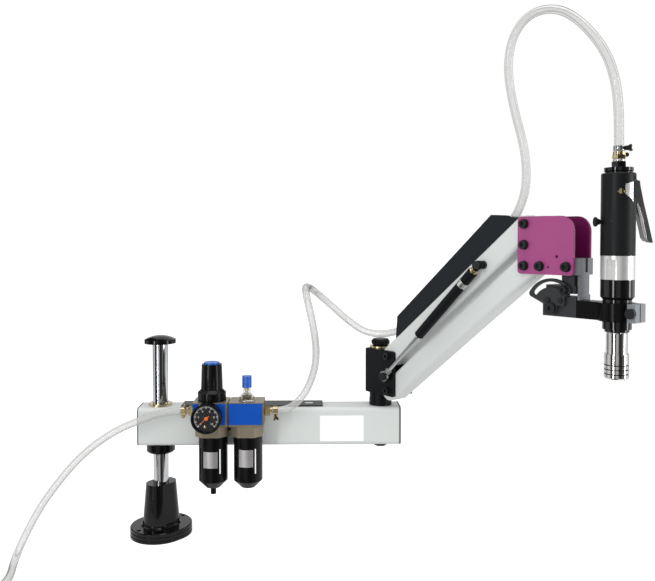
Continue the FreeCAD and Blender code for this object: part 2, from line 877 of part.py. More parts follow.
def links():
    upper = link_tube()
    upper = upper.cut(pin_y(spring_bolt_r, -link_half - cut_over, 0.0, spring_s))
    above = block(-2 * link_half, 2 * link_half, -link_half - cut_over, link_half + cut_over,
                  link_nose_up, 2 * link_half)
    upper = upper.cut(moved(turned(above, y_axis, lift_deg), link_length))
    save("upper_link", on_link(upper, high_pivot_z))
    save("lower_link", on_link(link_tube(), low_pivot_z))

    foot_t = link_half - link_corner_r + math.sqrt(
        link_corner_r ** 2 - (link_corner_r - cover_wall) ** 2) + cover_foot_lift
    shell = slab(outline((cover_foot_s, foot_t), (cover_left_s, cover_left_t),
                         (cover_right_s, cover_right_t), (cover_nose_s, foot_t)),
                 -link_half, link_half)
    hollow = slab(outline((0.0, foot_t - cut_over), (0.0, cover_left_t - cover_wall),
                          (cover_left_s, cover_left_t - cover_wall),
                          (cover_right_s, cover_right_t - cover_wall),
                          (link_length, cover_right_t - cover_wall),
                          (link_length, foot_t - cut_over)),
                  -link_half + cover_wall, link_half - cover_wall)
    save("hose_cover", on_link(shell.cut(hollow), high_pivot_z))


def gas_spring():
    axis_y = -link_half - spring_off
    bolt = Vector(pivot_a + spring_s * math.cos(lift), axis_y,
                  high_pivot_z + spring_s * math.sin(lift))
    stud = Vector(pivot_a, axis_y, high_pivot_z - stud_drop)
    along = bolt.sub(stud)
    length = along.Length
    rise_deg = math.degrees(math.atan2(along.z, along.x))

    def on_spring(shape):
        """From a frame along X from the lower stud to the machine."""
        return on_arm(moved(turned(shape, y_axis, -rise_deg), stud.x, stud.y, stud.z))

    body_end = length - spring_top_gap
    body_start = body_end - spring_body_length
    body = pin_x(spring_body_r, body_start, body_end)
    body = body.cut(pin_x(spring_rod_r + turn_fit, body_start - cut_over,
                          body_end - spring_body_r))
    half_eye = spring_eye_t / 2
    socket = join(pin_x(spring_socket_r, body_end, length - spring_top_eye_r),
                  block(length - spring_top_gap, length, -half_eye, half_eye, -spring_socket_r,
                        spring_socket_r),
                  pin_y(spring_top_eye_r, -half_eye, half_eye, length))
    body = join(body, socket.cut(pin_y(spring_bolt_r + turn_fit, -spring_eye_t, spring_eye_t, length)))
    save("spring_body", on_spring(body))
    rod_end = body_end - spring_body_r - spring_travel - spring_play
    tip = join(pin_x(rod_tip_r, 0.0, spring_eye_r + rod_tip_length).common(
        block(0.0, spring_eye_r + rod_tip_length, -half_eye, half_eye, -rod_tip_r, rod_tip_r)),
        pin_y(spring_eye_r, -half_eye, half_eye))
    tip = tip.cut(pin_y(spring_eye_hole_r, -spring_eye_t, spring_eye_t))
    save("spring_rod", on_spring(join(tip, pin_x(spring_rod_r, spring_eye_r, rod_end))))

    inner_y = axis_y + half_eye + side_gap
    outer_y = axis_y - half_eye - side_gap
    upper_bolt = join(pin_y(spring_bolt_r, outer_y, -link_half + link_wall, spring_s),
                      pin_y(spring_nut_r, -link_half - spring_nut_t, -link_half, spring_s),
                      pin_y(spring_bolt_shoulder_r, inner_y, -link_half, spring_s),
                      pin_y(spring_bolt_head_r, outer_y - spring_bolt_head_h, outer_y, spring_s))
    save("spring_bolt", on_link(upper_bolt, high_pivot_z))


def head_bolt_places():
    """Places of the head's five bolts, with the sleeve radius between the plates."""
    low = -pivot_spacing
    return [(0.0, 0.0, 0.0), (0.0, low / 2, stop_sleeve_r), (0.0, low, 0.0),
            (level_bolt_x, low, level_sleeve_r), (block_bolt_x, low, 0.0)]


def head():
    for name, near in (("head_plate_near", -1), ("head_plate_far", 1)):
        span = sorted((near * plate_gap_half, near * plate_outer))
        plate = slab(rounded(
            (-plate_back, -plate_down, plate_corner_r), (plate_front, -plate_down, plate_corner_r),
            (plate_front, plate_up, plate_nose_r), (-plate_back, plate_up, plate_corner_r)),
            span[0], span[1])
        for x, z, sleeve in head_bolt_places():
            plate = plate.cut(pin_y(head_bolt_r, span[0] - cut_over, span[1] + cut_over, x, z))
        for radius, x, down in ((sight_hole_r, sight_hole_x, sight_hole_down),
                                (pin_hole_r, pin_hole_x, pin_hole_down)):
            plate = plate.cut(pin_y(radius, span[0] - cut_over, span[1] + cut_over, x, -down))
        save(name, on_head(plate))

    bolts = []
    for x, z, sleeve in head_bolt_places():
        parts = [pin_y(head_bolt_r, -plate_outer, plate_outer, x, z)]
        for near in (-1, 1):
            washer = sorted((near * plate_outer, near * (plate_outer + head_washer_t)))
            top = near * (plate_outer + head_washer_t + head_bolt_head_h)
            cap = sorted((near * (plate_outer + head_washer_t), top))
            hole = sorted((top + near * cut_over, top - near * head_socket_depth))
            parts.append(pin_y(head_washer_r, washer[0], washer[1], x, z))
            parts.append(pin_y(head_bolt_head_r, cap[0], cap[1], x, z).cut(
                pin_y(head_socket_r, hole[0], hole[1], x, z)))
        bolts.append(on_head(join(*parts)))
        if sleeve > 0:
            bolts.append(on_head(pin_y(sleeve, -plate_gap_half, plate_gap_half, x, z).cut(
                pin_y(head_bolt_r, -plate_outer, plate_outer, x, z))))

    nose = block(nose_back, nose_front, -plate_gap_half, plate_gap_half, -nose_down, -nose_up)
    slot_y0 = nose_slot_y - nose_slot_w / 2
    nose = nose.cut(block(nose_front - nose_slot_depth, nose_front + cut_over, slot_y0,
                          slot_y0 + nose_slot_w, -nose_down + nose_slot_stop, -nose_up + cut_over))
    nose = nose.cut(pin_y(head_bolt_r, -plate_outer, plate_outer, block_bolt_x, -pivot_spacing))
    save("head_nose_block", on_head(nose))
    save("head_bolts", *bolts, tilt_bracket())


def tilt_bracket():
    """The bracket under the head and its stop post. Returns the lock bolt."""
    neck = block(tilt_neck_back, tilt_neck_front, -tilt_half_w, tilt_half_w,
                 -tilt_flange_top, -nose_down)
    flange = block(tilt_flange_back, tilt_flange_front, -tilt_half_w, tilt_half_w,
                   -tilt_flange_bottom, -tilt_flange_top)
    lug_y = tilt_half_w - tilt_lug_t
    lug = slab(outline((tilt_x - tilt_lug_r, -tilt_down), (tilt_x, -tilt_down - tilt_lug_r,
                       tilt_x + tilt_lug_r, -tilt_down), (tilt_x + tilt_lug_r, -tilt_flange_bottom),
                       (tilt_x - tilt_lug_r, -tilt_flange_bottom)),
               lug_y, tilt_half_w)
    body = join(neck, flange, lug)
    body = body.cut(pin_y(tilt_bolt_r + turn_fit, -tilt_half_w - cut_over, tilt_half_w + cut_over,
                          tilt_x, -tilt_down))
    lock = math.radians(lock_angle_deg)
    lock_x = tilt_x + sector_slot_r * math.cos(lock)
    lock_z = -tilt_down + sector_slot_r * math.sin(lock)
    body = body.cut(pin_y(lock_bolt_r, -tilt_half_w - cut_over, tilt_half_w - lock_bolt_r,
                          lock_x, lock_z))
    save("tilt_bracket", on_head(body))

    face = -tilt_half_w - sector_t
    lock_bolt = join(pin_y(lock_bolt_r, face, tilt_half_w - lock_bolt_r, lock_x, lock_z),
                     pin_y(lock_washer_r, face - lock_washer_t, face, lock_x, lock_z),
                     pin_y(lock_head_r, face - lock_washer_t - lock_head_h, face - lock_washer_t,
                           lock_x, lock_z).cut(
                         pin_y(head_socket_r, face - lock_washer_t - lock_head_h - cut_over,
                               face - lock_washer_t - lock_head_h + head_socket_depth,
                               lock_x, lock_z)))
    foot_bottom = ring_z1 + bar_seat_gap
    post = block(nose_front - stop_t, nose_front, -stop_half_w, stop_half_w,
                 foot_bottom, -nose_down)
    foot = block(nose_front - stop_foot_t, nose_front, -tilt_half_w, tilt_half_w,
                 foot_bottom, foot_bottom + stop_foot_h)
    save("stop_post", on_head(join(post, foot)))
    return on_head(lock_bolt)


def tool_arm():
    """The parts that tilt: built from the tilt pivot."""
    def on_tilt(shape):
        return on_head(moved(shape, tilt_x, 0.0, -tilt_down))

    sweep = math.radians(sector_sweep_deg)
    first = math.radians(lock_angle_deg)
    last = first + sweep
    middle = first + sweep / 2

    def at(radius, turn):
        return (radius * math.cos(turn), radius * math.sin(turn))

    margin = math.asin((sector_slot_half_w + sector_r - sector_slot_r - sector_slot_half_w)
                       / sector_slot_r)
    start = first - margin
    end = last + margin
    plate = slab(outline(
        at(sector_r, start), at(sector_r, middle) + at(sector_r, end),
        at(sector_hub_r, end), at(sector_hub_r, middle + math.pi) + at(sector_hub_r, start)),
        -tilt_half_w - sector_t, -tilt_half_w)
    foot = slab(rounded(
        (-sector_foot_back, sector_foot_low, sector_foot_r),
        (sector_foot_front, sector_foot_low, sector_foot_r),
        (sector_foot_front, grey_top, sector_foot_r), (-sector_foot_back, grey_top, sector_foot_r)),
        -tilt_half_w - sector_t, -tilt_half_w)
    plate = round_edges(plate, sector_hub_r / 2, lambda edge, point: abs(
        edge.tangentAt(0).y) > run_share and point.sub(Vector(0, point.y, 0)).Length > sector_slot_r)
    inner = sector_slot_r - sector_slot_half_w
    outer = sector_slot_r + sector_slot_half_w
    cap_first = first - math.pi / 2
    cap_last = last + math.pi / 2
    slot_start = (sector_slot_r * math.cos(first) + sector_slot_half_w * math.cos(cap_first),
                  sector_slot_r * math.sin(first) + sector_slot_half_w * math.sin(cap_first))
    slot_end = (sector_slot_r * math.cos(last) + sector_slot_half_w * math.cos(cap_last),
                sector_slot_r * math.sin(last) + sector_slot_half_w * math.sin(cap_last))
    slot = slab(outline(
        at(outer, first), at(outer, middle) + at(outer, last), slot_end + at(inner, last),
        at(inner, middle) + at(inner, first), slot_start + at(outer, first)),
        -tilt_half_w - sector_t - cut_over, -tilt_half_w + cut_over)
    plate = join(plate, foot).cut(slot).cut(pin_y(tilt_bolt_r, -tilt_half_w - sector_t - cut_over, 0.0))
    for side in (-1, 1):
        plate = plate.cut(pin_y(sector_screw_r, -tilt_half_w - sector_t - cut_over, 0.0,
                                sector_screw_off + side * sector_screw_x, sector_screw_z))
    save("sector_plate", on_tilt(plate))

    reach = tool_x - tilt_x
    grey = slab(rounded((-grey_back, -grey_bottom, 0.0), (grey_front, -grey_bottom, 0.0),
                        (grey_front, grey_top, grey_corner_r),
                        (-grey_back, grey_top, grey_back_corner_r)),
                -tilt_half_w, tilt_half_w)
    lap_y = tilt_half_w - tilt_lug_t - tilt_gap
    lap = join(block(-grey_back - cut_over, 0.0, lap_y, tilt_half_w + cut_over,
                     -grey_bottom - cut_over, grey_top + cut_over),
               pin_y(tilt_lug_r + tilt_gap * 2, lap_y, tilt_half_w + cut_over),
               block(0.0, tilt_lug_r + tilt_gap * 2, lap_y, tilt_half_w + cut_over, 0.0,
                     grey_top + cut_over))
    grey = grey.cut(lap).cut(pin_y(tilt_bolt_r, -tilt_half_w - cut_over, tilt_half_w))
    for side in (-1, 1):
        grey = grey.cut(pin_y(sector_screw_r, -tilt_half_w - cut_over,
                              -tilt_half_w - sector_t + sector_screw_length,
                              sector_screw_off + side * sector_screw_x, sector_screw_z))
    save("tilt_block", on_tilt(grey))

    arm = block(grey_front, reach, -tilt_half_w, tilt_half_w, -grey_bottom, bar_top)
    ears = block(reach, reach + ear_front, -ear_half_w, ear_half_w, -grey_bottom, bar_top)
    clamp = join(arm, ears, pin_z(ring_r, -grey_bottom, bar_top, reach))
    clamp = clamp.cut(pin_z(ring_bore_r, -grey_bottom - cut_over, bar_top + cut_over, reach))
    clamp = clamp.cut(block(reach, reach + ear_front + cut_over, -ear_slit / 2, ear_slit / 2,
                            -grey_bottom - cut_over, bar_top + cut_over))
    mid_z = (bar_top - grey_bottom) / 2
    screw = pin_y(ear_screw_r, -ear_half_w, ear_half_w, reach + ear_screw_x, mid_z)
    save("clamp_arm", on_tilt(clamp.cut(screw)))
    screw = join(screw, pin_y(ear_screw_head_r, -ear_half_w - ear_screw_head_h, -ear_half_w,
                              reach + ear_screw_x, mid_z))
    bolts = [on_tilt(screw)]
    face = -tilt_half_w - sector_t
    pivot = join(pin_y(tilt_bolt_r, face, tilt_half_w),
                 pin_y(tilt_bolt_head_r, face - tilt_bolt_head_h, face).cut(
                     pin_y(head_socket_r, face - tilt_bolt_head_h - cut_over,
                           face - tilt_bolt_head_h + head_socket_depth)))
    bolts.append(on_tilt(pivot))
    for side in (-1, 1):
        screw_x = sector_screw_off + side * sector_screw_x
        bolts.append(on_tilt(join(
            pin_y(sector_screw_r, face, face + sector_screw_length, screw_x, sector_screw_z),
            pin_y(sector_screw_head_r, face - sector_screw_head_h, face, screw_x, sector_screw_z))))
    save("tool_arm_bolts", *bolts)


def motor():
    ring_h = bar_top + grey_bottom
    neck_z = ring_h + motor_neck_h
    taper_z = neck_z + motor_taper_h
    nut_z = taper_z + ring_nut_h
    sleeve_z = nut_z + sleeve_h
    grip_z = sleeve_z + grip_h
    nose = spin(outline(
        (0.0, -nose_collar_low), (nose_tip_r, -nose_collar_low),
        (nose_tip_r, -nose_collar_low + nose_tip_h), (nose_collar_r, -nose_collar_low + nose_tip_h),
        (nose_collar_r, neck_z), (ring_nut_r, taper_z), (ring_nut_r, nut_z), (0.0, nut_z)))
    bore = pin_z(shank_r + turn_fit, -nose_collar_low - cut_over, ring_h)
    save("motor_nose", on_tool(nose.cut(bore)))

    sleeve = pin_z(sleeve_r, nut_z, sleeve_z)
    flat = block(-sleeve_r, sleeve_r, -sleeve_r - cut_over, -sleeve_r + sleeve_flat_depth,
                 nut_z, nut_z + sleeve_flat_h)
    save("motor_sleeve", on_tool(sleeve.cut(flat)))

    grip = spin(outline(
        (0.0, sleeve_z), (grip_r, sleeve_z), (grip_r, grip_z - grip_edge),
        (grip_r - grip_edge, grip_z), (0.0, grip_z)))
    mouth = grip_r + cut_over

    def below_top(points):
        """Points of the motor's frame from distances out and down."""
        return [(x, grip_z - down) for x, down in points]

    notch = slab(outline(*below_top([(mouth, grip_notch_mouth), (grip_r, grip_notch_mouth)]
                                    + grip_notch + [(mouth, grip_notch[-1][1])])), -mouth, mouth)
    slot_half = lever_half_w + lever_slot_gap
    pivot_z = grip_z - lever_pivot_down
    slot = block(lever_slot_x, mouth, -slot_half, slot_half, grip_z - lever_slot_low,
                 grip_z - lever_slot_top)
    grip = grip.cut(notch).cut(slot)
    grip = grip.cut(pin_y(lever_pin_r, -grip_r, grip_r, lever_pivot_x, pivot_z))
    button_z = grip_z - button_down
    grip = grip.cut(pin_x(button_stem_r + turn_fit, -grip_r - cut_over,
                          -grip_r + button_hold + button_travel, 0.0, button_z))
    save("motor_grip", on_tool(grip))
    pin_half = math.sqrt(grip_r ** 2 - (lever_pivot_x + lever_pin_r) ** 2)
    save("lever_pin", on_tool(pin_y(lever_pin_r, -pin_half, pin_half, lever_pivot_x, pivot_z)))

    hub_top = (lever_pivot_x, lever_pivot_down - lever_hub_r)
    hub_low = (lever_pivot_x, lever_pivot_down + lever_hub_r)
    blade = slab(outline(*below_top([hub_top] + lever_outer_blade + lever_inner_blade + [hub_low])),
                 -lever_half_w, lever_half_w)
    lever = join(blade, pin_y(lever_hub_r, -lever_half_w, lever_half_w, lever_pivot_x, pivot_z))
    save("throttle_lever", on_tool(lever.cut(
        pin_y(lever_pin_r + turn_fit, -grip_r, grip_r, lever_pivot_x, pivot_z))))

    stem_end = -grip_r - button_travel
    head = spin(outline((0.0, 0.0), (button_waist_r, 0.0), (button_waist_r, button_waist_t),
                        (button_head_r, button_head_t - button_rim_t), (button_head_r, button_head_t),
                        (0.0, button_head_t)))
    head = moved(turned(head, y_axis, -90.0), stem_end, 0.0, button_z)
    button = join(pin_x(button_stem_r, stem_end, -grip_r + button_hold, 0.0, button_z), head)
    save("reverse_button", on_tool(button))

    top_ring = spin(outline(
        (0.0, grip_z), (top_ring_r - grip_edge, grip_z), (top_ring_r - grip_edge, grip_z + grip_edge),
        (top_ring_r, grip_z + grip_edge * 2), (top_ring_r, grip_z + top_ring_h),
        (0.0, grip_z + top_ring_h)))
    inlet_z = grip_z + top_ring_h
    tail_z = inlet_z + inlet_nut_h
    end_z = tail_z + fitting_neck_length
    inlet = join(top_ring, hexagon(inlet_nut_r, inlet_z, tail_z), pin_z(fitting_neck_r, tail_z, end_z))
    band_mid = end_z + band_back + band_length / 2
    save("motor_inlet", on_tool(inlet), on_tool(band(Vector(0, 0, band_mid), z_axis, x_axis)))
    return end_z


def spindle():
    top = -nose_collar_low - shank_gap
    shoulder = top - chuck_h
    shank = pin_z(shank_r, top, 0.0)
    body = join(shank, pin_z(chuck_r, shoulder, top),
                pin_z(chuck_core_r, shoulder - chuck_sleeve_h + chuck_travel, shoulder))
    low = shoulder - chuck_sleeve_h + chuck_travel
    save("chuck_body", on_tool(body.cut(pin_z(chuck_bore_r, low - cut_over,
                                              low + chuck_bore_depth))))
    sleeve_low = shoulder - chuck_sleeve_h
    bore_r = chuck_core_r + turn_fit
    sleeve = spin(outline((bore_r, sleeve_low), (chuck_sleeve_r - chuck_sleeve_edge, sleeve_low),
                          (chuck_sleeve_r, sleeve_low + chuck_sleeve_edge),
                          (chuck_sleeve_r, shoulder), (bore_r, shoulder)))
    for index in range(chuck_groove_count):
        z = sleeve_low + chuck_groove_pitch * (index + 1)
        sleeve = sleeve.cut(ring_of(chuck_sleeve_r + cut_over, chuck_sleeve_r - chuck_groove_depth,
                                    z, z + chuck_groove_h))
    save("chuck_sleeve", on_tool(sleeve))


def air_unit_body(x):
    """One body: a rectangular upper part over an eight-sided skirt."""
    back = frl_y + frl_depth / 2
    low_z = frl_port_z - frl_body_low
    head_part = block(x - frl_body_half, x + frl_body_half, frl_front, back, low_z, frl_top_z)
    skirt = block(x - frl_body_half + frl_skirt_inset, x + frl_body_half - frl_skirt_inset,
                  frl_front, back, skirt_bottom_z, low_z)
    upright = [edge for edge in skirt.Edges if abs(edge.tangentAt(0).z) > run_share]
    skirt = skirt.makeChamfer(frl_skirt_chamfer, upright)
    seam_x = frl_x + frl_body_half
    seam_x0 = seam_x - frl_seam / 2
    seam_x1 = seam_x + frl_seam / 2
    front_seam = block(seam_x0, seam_x1, frl_front - cut_over, frl_front + frl_seam_depth,
                       skirt_bottom_z, frl_top_z + cut_over)
    top_seam = block(seam_x0, seam_x1, frl_front - cut_over, back + cut_over,
                     frl_top_z - frl_seam_depth, frl_top_z + cut_over)
    return join(head_part, skirt).cut(join(front_seam, top_seam))


def air_unit():
    save("regulator_body", air_unit_body(frl_x))
    save("oiler_body", air_unit_body(oiler_x))

    gauge_x = frl_x + gauge_x_off
    gauge_z = frl_port_z + gauge_z_off
    plates = []
    for x, insets in ((frl_x, regulator_plate_insets), (oiler_x, oiler_plate_insets)):
        plates.append(block(x - frl_body_half + insets[0], x + frl_body_half - insets[1],
                            frl_front - name_plate_t, frl_front,
                            frl_port_z - name_plate_down, frl_port_z + name_plate_up))
    neck_y = frl_front - gauge_neck_length
    case_front = neck_y - gauge_depth
    plates[0] = plates[0].cut(pin_y(gauge_neck_r, neck_y, frl_front,
                                    gauge_x, gauge_z))
    save("front_plates", *plates)

    case = join(pin_y(gauge_neck_r, neck_y, frl_front, gauge_x, gauge_z),
                pin_y(gauge_r, case_front, neck_y, gauge_x, gauge_z))
    case = case.cut(pin_y(gauge_r - gauge_rim, case_front - cut_over, case_front + gauge_recess,
                          gauge_x, gauge_z))
    save("pressure_gauge", case)
    needle_y = case_front + gauge_recess - needle_gap - needle_t
    pointer = slab(outline((-needle_tail, -needle_half_w), (needle_length, -needle_tip_half_w),
                           (needle_length, needle_tip_half_w), (-needle_tail, needle_half_w)),
                   0.0, needle_t)
    needle = join(pointer, pin_y(needle_hub_r, 0.0, needle_t))
    needle = turned(needle, y_axis, -needle_turn_deg)
    save("gauge_needle", moved(needle, gauge_x, needle_y, gauge_z))

    bonnet_z = frl_top_z
    bonnet_top = bonnet_z + bonnet_h
    bonnet = spin(outline((0.0, bonnet_z), (bonnet_r, bonnet_z), (bonnet_r, bonnet_top - bonnet_neck_h),
                          (regulator_knob_r, bonnet_top), (0.0, bonnet_top)))
    bonnet = bonnet.cut(flutes(bonnet_ribs, bonnet_r + bonnet_rib_r / 2, bonnet_rib_r,
                               bonnet_z - cut_over, bonnet_top + cut_over))
    save("regulator_bonnet", moved(bonnet, frl_x, frl_y))
    knob_z = bonnet_top + regulator_lift
    knob_top = knob_z + regulator_knob_h
    knob = spin(outline((0.0, knob_z), (regulator_knob_r, knob_z), (regulator_knob_top_r, knob_top),
                        (0.0, knob_top)))
    knob = knob.cut(flutes(regulator_knob_flutes, regulator_knob_r + regulator_knob_flute_r / 2,
                           regulator_knob_flute_r, knob_z - cut_over, knob_top + cut_over))
    knob = join(knob, pin_z(regulator_disc_r, knob_top, knob_top + regulator_disc_t))
    save("regulator_knob", moved(knob, frl_x, frl_y))

    guards = []
    bowls = []
    guard_low = skirt_bottom_z - bowl_length
    for x in (frl_x, oiler_x):
        def shell(radius, wall, nose_r, z_low):
            """A cup, open upward, with a tapered nose."""
            return spin(outline(
                (radius, skirt_bottom_z), (radius, z_low + bowl_nose), (nose_r, z_low),
                (0.0, z_low), (0.0, z_low + wall), (nose_r - wall / 2, z_low + wall),
                (radius - wall, z_low + bowl_nose + wall / 2), (radius - wall, skirt_bottom_z)))
        guard = shell(bowl_guard_r, bowl_guard_wall, bowl_nose_r, guard_low)
        for index in range(guard_slots):
            cutter = block(bowl_r, bowl_guard_r + cut_over, -guard_slot_w / 2, guard_slot_w / 2,
                           guard_low + guard_slot_low, guard_low + guard_slot_high)
            guard = guard.cut(turned(cutter, z_axis, guard_slot_turn_deg + 360 * index / guard_slots))
        if x == frl_x:
            guard = guard.cut(pin_z(drain_neck_r + seat_gap, guard_low - cut_over,
                                    guard_low + bowl_nose))
        guards.append(moved(guard, x + bowl_x_off, frl_y))
        bowl_low = guard_low + bowl_guard_wall + seat_gap
        bowl = shell(bowl_r, bowl_wall, bowl_nose_r - bowl_guard_wall, bowl_low)
        if x == frl_x:
            bowl = bowl.cut(pin_z(drain_neck_r + turn_fit, bowl_low - cut_over, bowl_low + bowl_nose))
        bowls.append(moved(bowl, x + bowl_x_off, frl_y))
    save("bowl_guards", *guards)
    save("bowls", *bowls)
    drain_x = frl_x + bowl_x_off
    save("drain_valve", join(
        pin_z(drain_r, guard_low - drain_h, guard_low - drain_gap, drain_x, frl_y),
        pin_z(drain_neck_r, guard_low - drain_gap, guard_low + drain_hold, drain_x, frl_y)))

    base = spin(outline((0.0, frl_top_z), (dome_base_r, frl_top_z),
                        (dome_base_r, frl_top_z + dome_base_h / 2),
                        (dome_r + dome_shoulder, frl_top_z + dome_base_h),
                        (0.0, frl_top_z + dome_base_h)))
    save("dome_base", moved(base, oiler_x, frl_y))
    dome_z = frl_top_z + dome_base_h
    save("sight_dome", pin_z(dome_r, dome_z, dome_z + dome_h, oiler_x, frl_y))
    cap = pin_z(oil_knob_r, dome_z + dome_h, dome_z + dome_h + oil_knob_h)
    cap = cap.cut(flutes(oil_knob_flutes, oil_knob_r + oil_knob_flute_r / 2, oil_knob_flute_r,
                         dome_z + dome_h - cut_over, dome_z + dome_h + oil_knob_h + cut_over))
    save("oil_knob", moved(cap, oiler_x, frl_y))


def side_fitting(face_x, outward):
    """Nut and neck of a hose tail on one side of the air unit."""
    nut = turned(hexagon(fitting_nut_r, 0.0, fitting_nut_length), y_axis, 90.0)
    neck = pin_x(fitting_neck_r, fitting_nut_length, fitting_nut_length + fitting_neck_length)
    tail = join(nut, neck)
    if outward < 0:
        tail = turned(tail, z_axis, 180.0)
    return moved(tail, face_x, frl_y, frl_port_z)


def band(centre, along, screw_side):
    """A hose clamp round the hose, with its screw housing."""
    start = centre.sub(along * (band_length / 2))
    end = centre.add(along * (band_length / 2))
    hoop = rod(hose_r + band_t, start, end).cut(
        rod(hose_r, start.sub(along * cut_over), end.add(along * cut_over)))
    across = along.cross(screw_side)
    middle = centre.add(screw_side * (hose_r + band_t + band_screw_r / 2))
    screw = rod(band_screw_r, middle.sub(across * (band_screw_length / 2)),
                middle.add(across * (band_screw_length / 2)))
    return join(hoop, screw)


def hose_bend(start, heading, centre, axis, turn_deg):
    """One bend of a hose: a disc swung about the bend's centre."""
    disc = Part.Face(Part.Wire([Part.makeCircle(hose_r, start, heading)]))
    return disc.revolve(centre, axis, turn_deg)


def one_hose(name, pieces, length):
    """Joins the runs and bends of a hose and checks that nothing was lost."""
    tube = pieces[0].fuse(pieces[1:]).removeSplitter()
    expected = math.pi * hose_r ** 2 * length
    print(name, "length", round(length), "volume share", round(tube.Volume / expected, 4),
          "solids", len(tube.Solids))
    return tube.Solids[0]


def hose_along(points, name):
    """A round hose along straight runs that tangent arcs join."""
    pieces = []
    radii = []
    length = 0.0
    here = points[0]
    for index in range(1, len(points) - 1):
        corner = points[index]
        back = points[index - 1].sub(corner)
        ahead = points[index + 1].sub(corner)
        turn = math.pi - back.getAngle(ahead)
        reach = run_share * min(back.Length, ahead.Length)
        radius = reach / math.tan(turn / 2)
        back.normalize()
        ahead.normalize()
        first = corner.add(back * reach)
        last = corner.add(ahead * reach)
        centre = corner.add(back.add(ahead).normalize() * (radius / math.cos(turn / 2)))
        heading = back * -1
        pieces.append(rod(hose_r, here, first))
        pieces.append(hose_bend(first, heading, centre, heading.cross(ahead), math.degrees(turn)))
        length += here.distanceToPoint(first) + radius * turn
        radii.append(round(radius))
        here = last
    pieces.append(rod(hose_r, here, points[-1]))
    length += here.distanceToPoint(points[-1])
    print(name, "radii", radii)
    return one_hose(name, pieces, length)


def coil():
    """A flat coil of half turns on the bench, and its end run to the coupling."""
    pieces = []
    length = 0.0
    here = Vector(*supply_points[-1])
    radius = coil_radius
    side = -1.0
    for index in range(coil_half_turns):
        centre = here.add(Vector(side * radius, 0, 0))
        pieces.append(hose_bend(here, Vector(0, side, 0), centre, z_axis, -180))
        here = centre.add(Vector(side * radius, 0, 0))
        length += math.pi * radius
        radius -= coil_pitch / 2
        side = -side
    centre = here.add(Vector(side * coil_end_radius, 0, 0))
    pieces.append(hose_bend(here, Vector(0, side, 0), centre, z_axis, -coil_end_turn_deg))
    start_deg = 0.0 if side < 0 else 180.0

    turn = math.radians(start_deg - coil_end_turn_deg)
    end = centre.add(Vector(math.cos(turn), math.sin(turn), 0) * coil_end_radius)
    along = Vector(math.sin(turn), -math.cos(turn), 0)
    stop = end.add(along * coil_end_run)
    pieces.append(rod(hose_r, end, stop))
    length += math.radians(coil_end_turn_deg) * coil_end_radius + coil_end_run
    save("supply_coil", one_hose("supply_coil", pieces, length))
    far = stop.add(along * coupling_length)
    lifted = Vector(0, 0, coupling_r - hose_r)
    body = rod(coupling_r, stop.add(lifted), far.add(lifted))
    save("supply_coupling", body.cut(rod(coupling_bore_r, far.add(lifted).sub(
        along * coupling_bore_depth), far.add(lifted).add(along * cut_over))))


def hoses(motor_tail_z):
    tail_reach = fitting_nut_length + fitting_neck_length
    inlet_x = frl_x - frl_body_half
    outlet_x = oiler_x + frl_body_half
    band_mid = band_back + band_length / 2
    left = band(Vector(inlet_x - tail_reach - band_mid, frl_y, frl_port_z), x_axis,
                Vector(0, 0, -1))
    right = band(Vector(outlet_x + tail_reach + band_mid, frl_y, frl_port_z), x_axis,
                 Vector(0, 0, -1))
    save("hose_fittings", side_fitting(inlet_x, -1), side_fitting(outlet_x, 1), left, right)

    supply = [Vector(*point) for point in supply_points]
    supply[0] = Vector(inlet_x - tail_reach, frl_y, frl_port_z)
    save("supply_hose", hose_along(supply, "supply_hose"))
    coil()

    hose_t = link_half + arm_hose_rise
    inside = pin_x(hose_r, arm_hose_start, arm_hose_end, 0.0, hose_t)
    save("arm_hose", on_link(inside, high_pivot_z))

    def on_upper(s, t):
        """A point of the upper link's frame, in the machine."""
        return on_link(Part.Vertex(Vector(s, 0, t)), high_pivot_z).Point

    feed = [Vector(*point) for point in feed_points]
    feed[0] = Vector(outlet_x + tail_reach, frl_y, frl_port_z)
    feed += [on_upper(arm_hose_start - arm_hose_mouth, hose_t), on_upper(arm_hose_start, hose_t)]
    save("feed_hose", hose_along(feed, "feed_hose"))

    loop = [on_upper(arm_hose_end, hose_t), on_upper(arm_hose_end + arm_hose_mouth, hose_t)]
    loop += [on_head(Part.Vertex(Vector(x, 0, z))).Point for x, z in loop_points]
    loop.append(on_tool(Part.Vertex(Vector(0, 0, motor_tail_z))).Point)
    save("loop_hose", hose_along(loop, "loop_hose"))


os.makedirs("parts", exist_ok=True)
stand()
height_collar()
lower_arm()
swivel_block()
links()
gas_spring()
head()
tool_arm()
tail_top = motor()
spindle()
air_unit()
hoses(tail_top)
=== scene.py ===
# %% [markdown]
# # An air-driven arm tapping machine
# The machine stands on a column in a cast base. A painted arm carries an air unit and a swivel
# block, two parallel links carry a magenta head, and the head holds an air motor with a chuck.
# The solids come packed from the CAD step, with their real sizes and joints. This lesson gives
# them a camera, light, finishes and the small pieces that a CAD solid doesn't have.

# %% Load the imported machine
import math
import bmesh
import bpy
from mathutils import Matrix, Vector


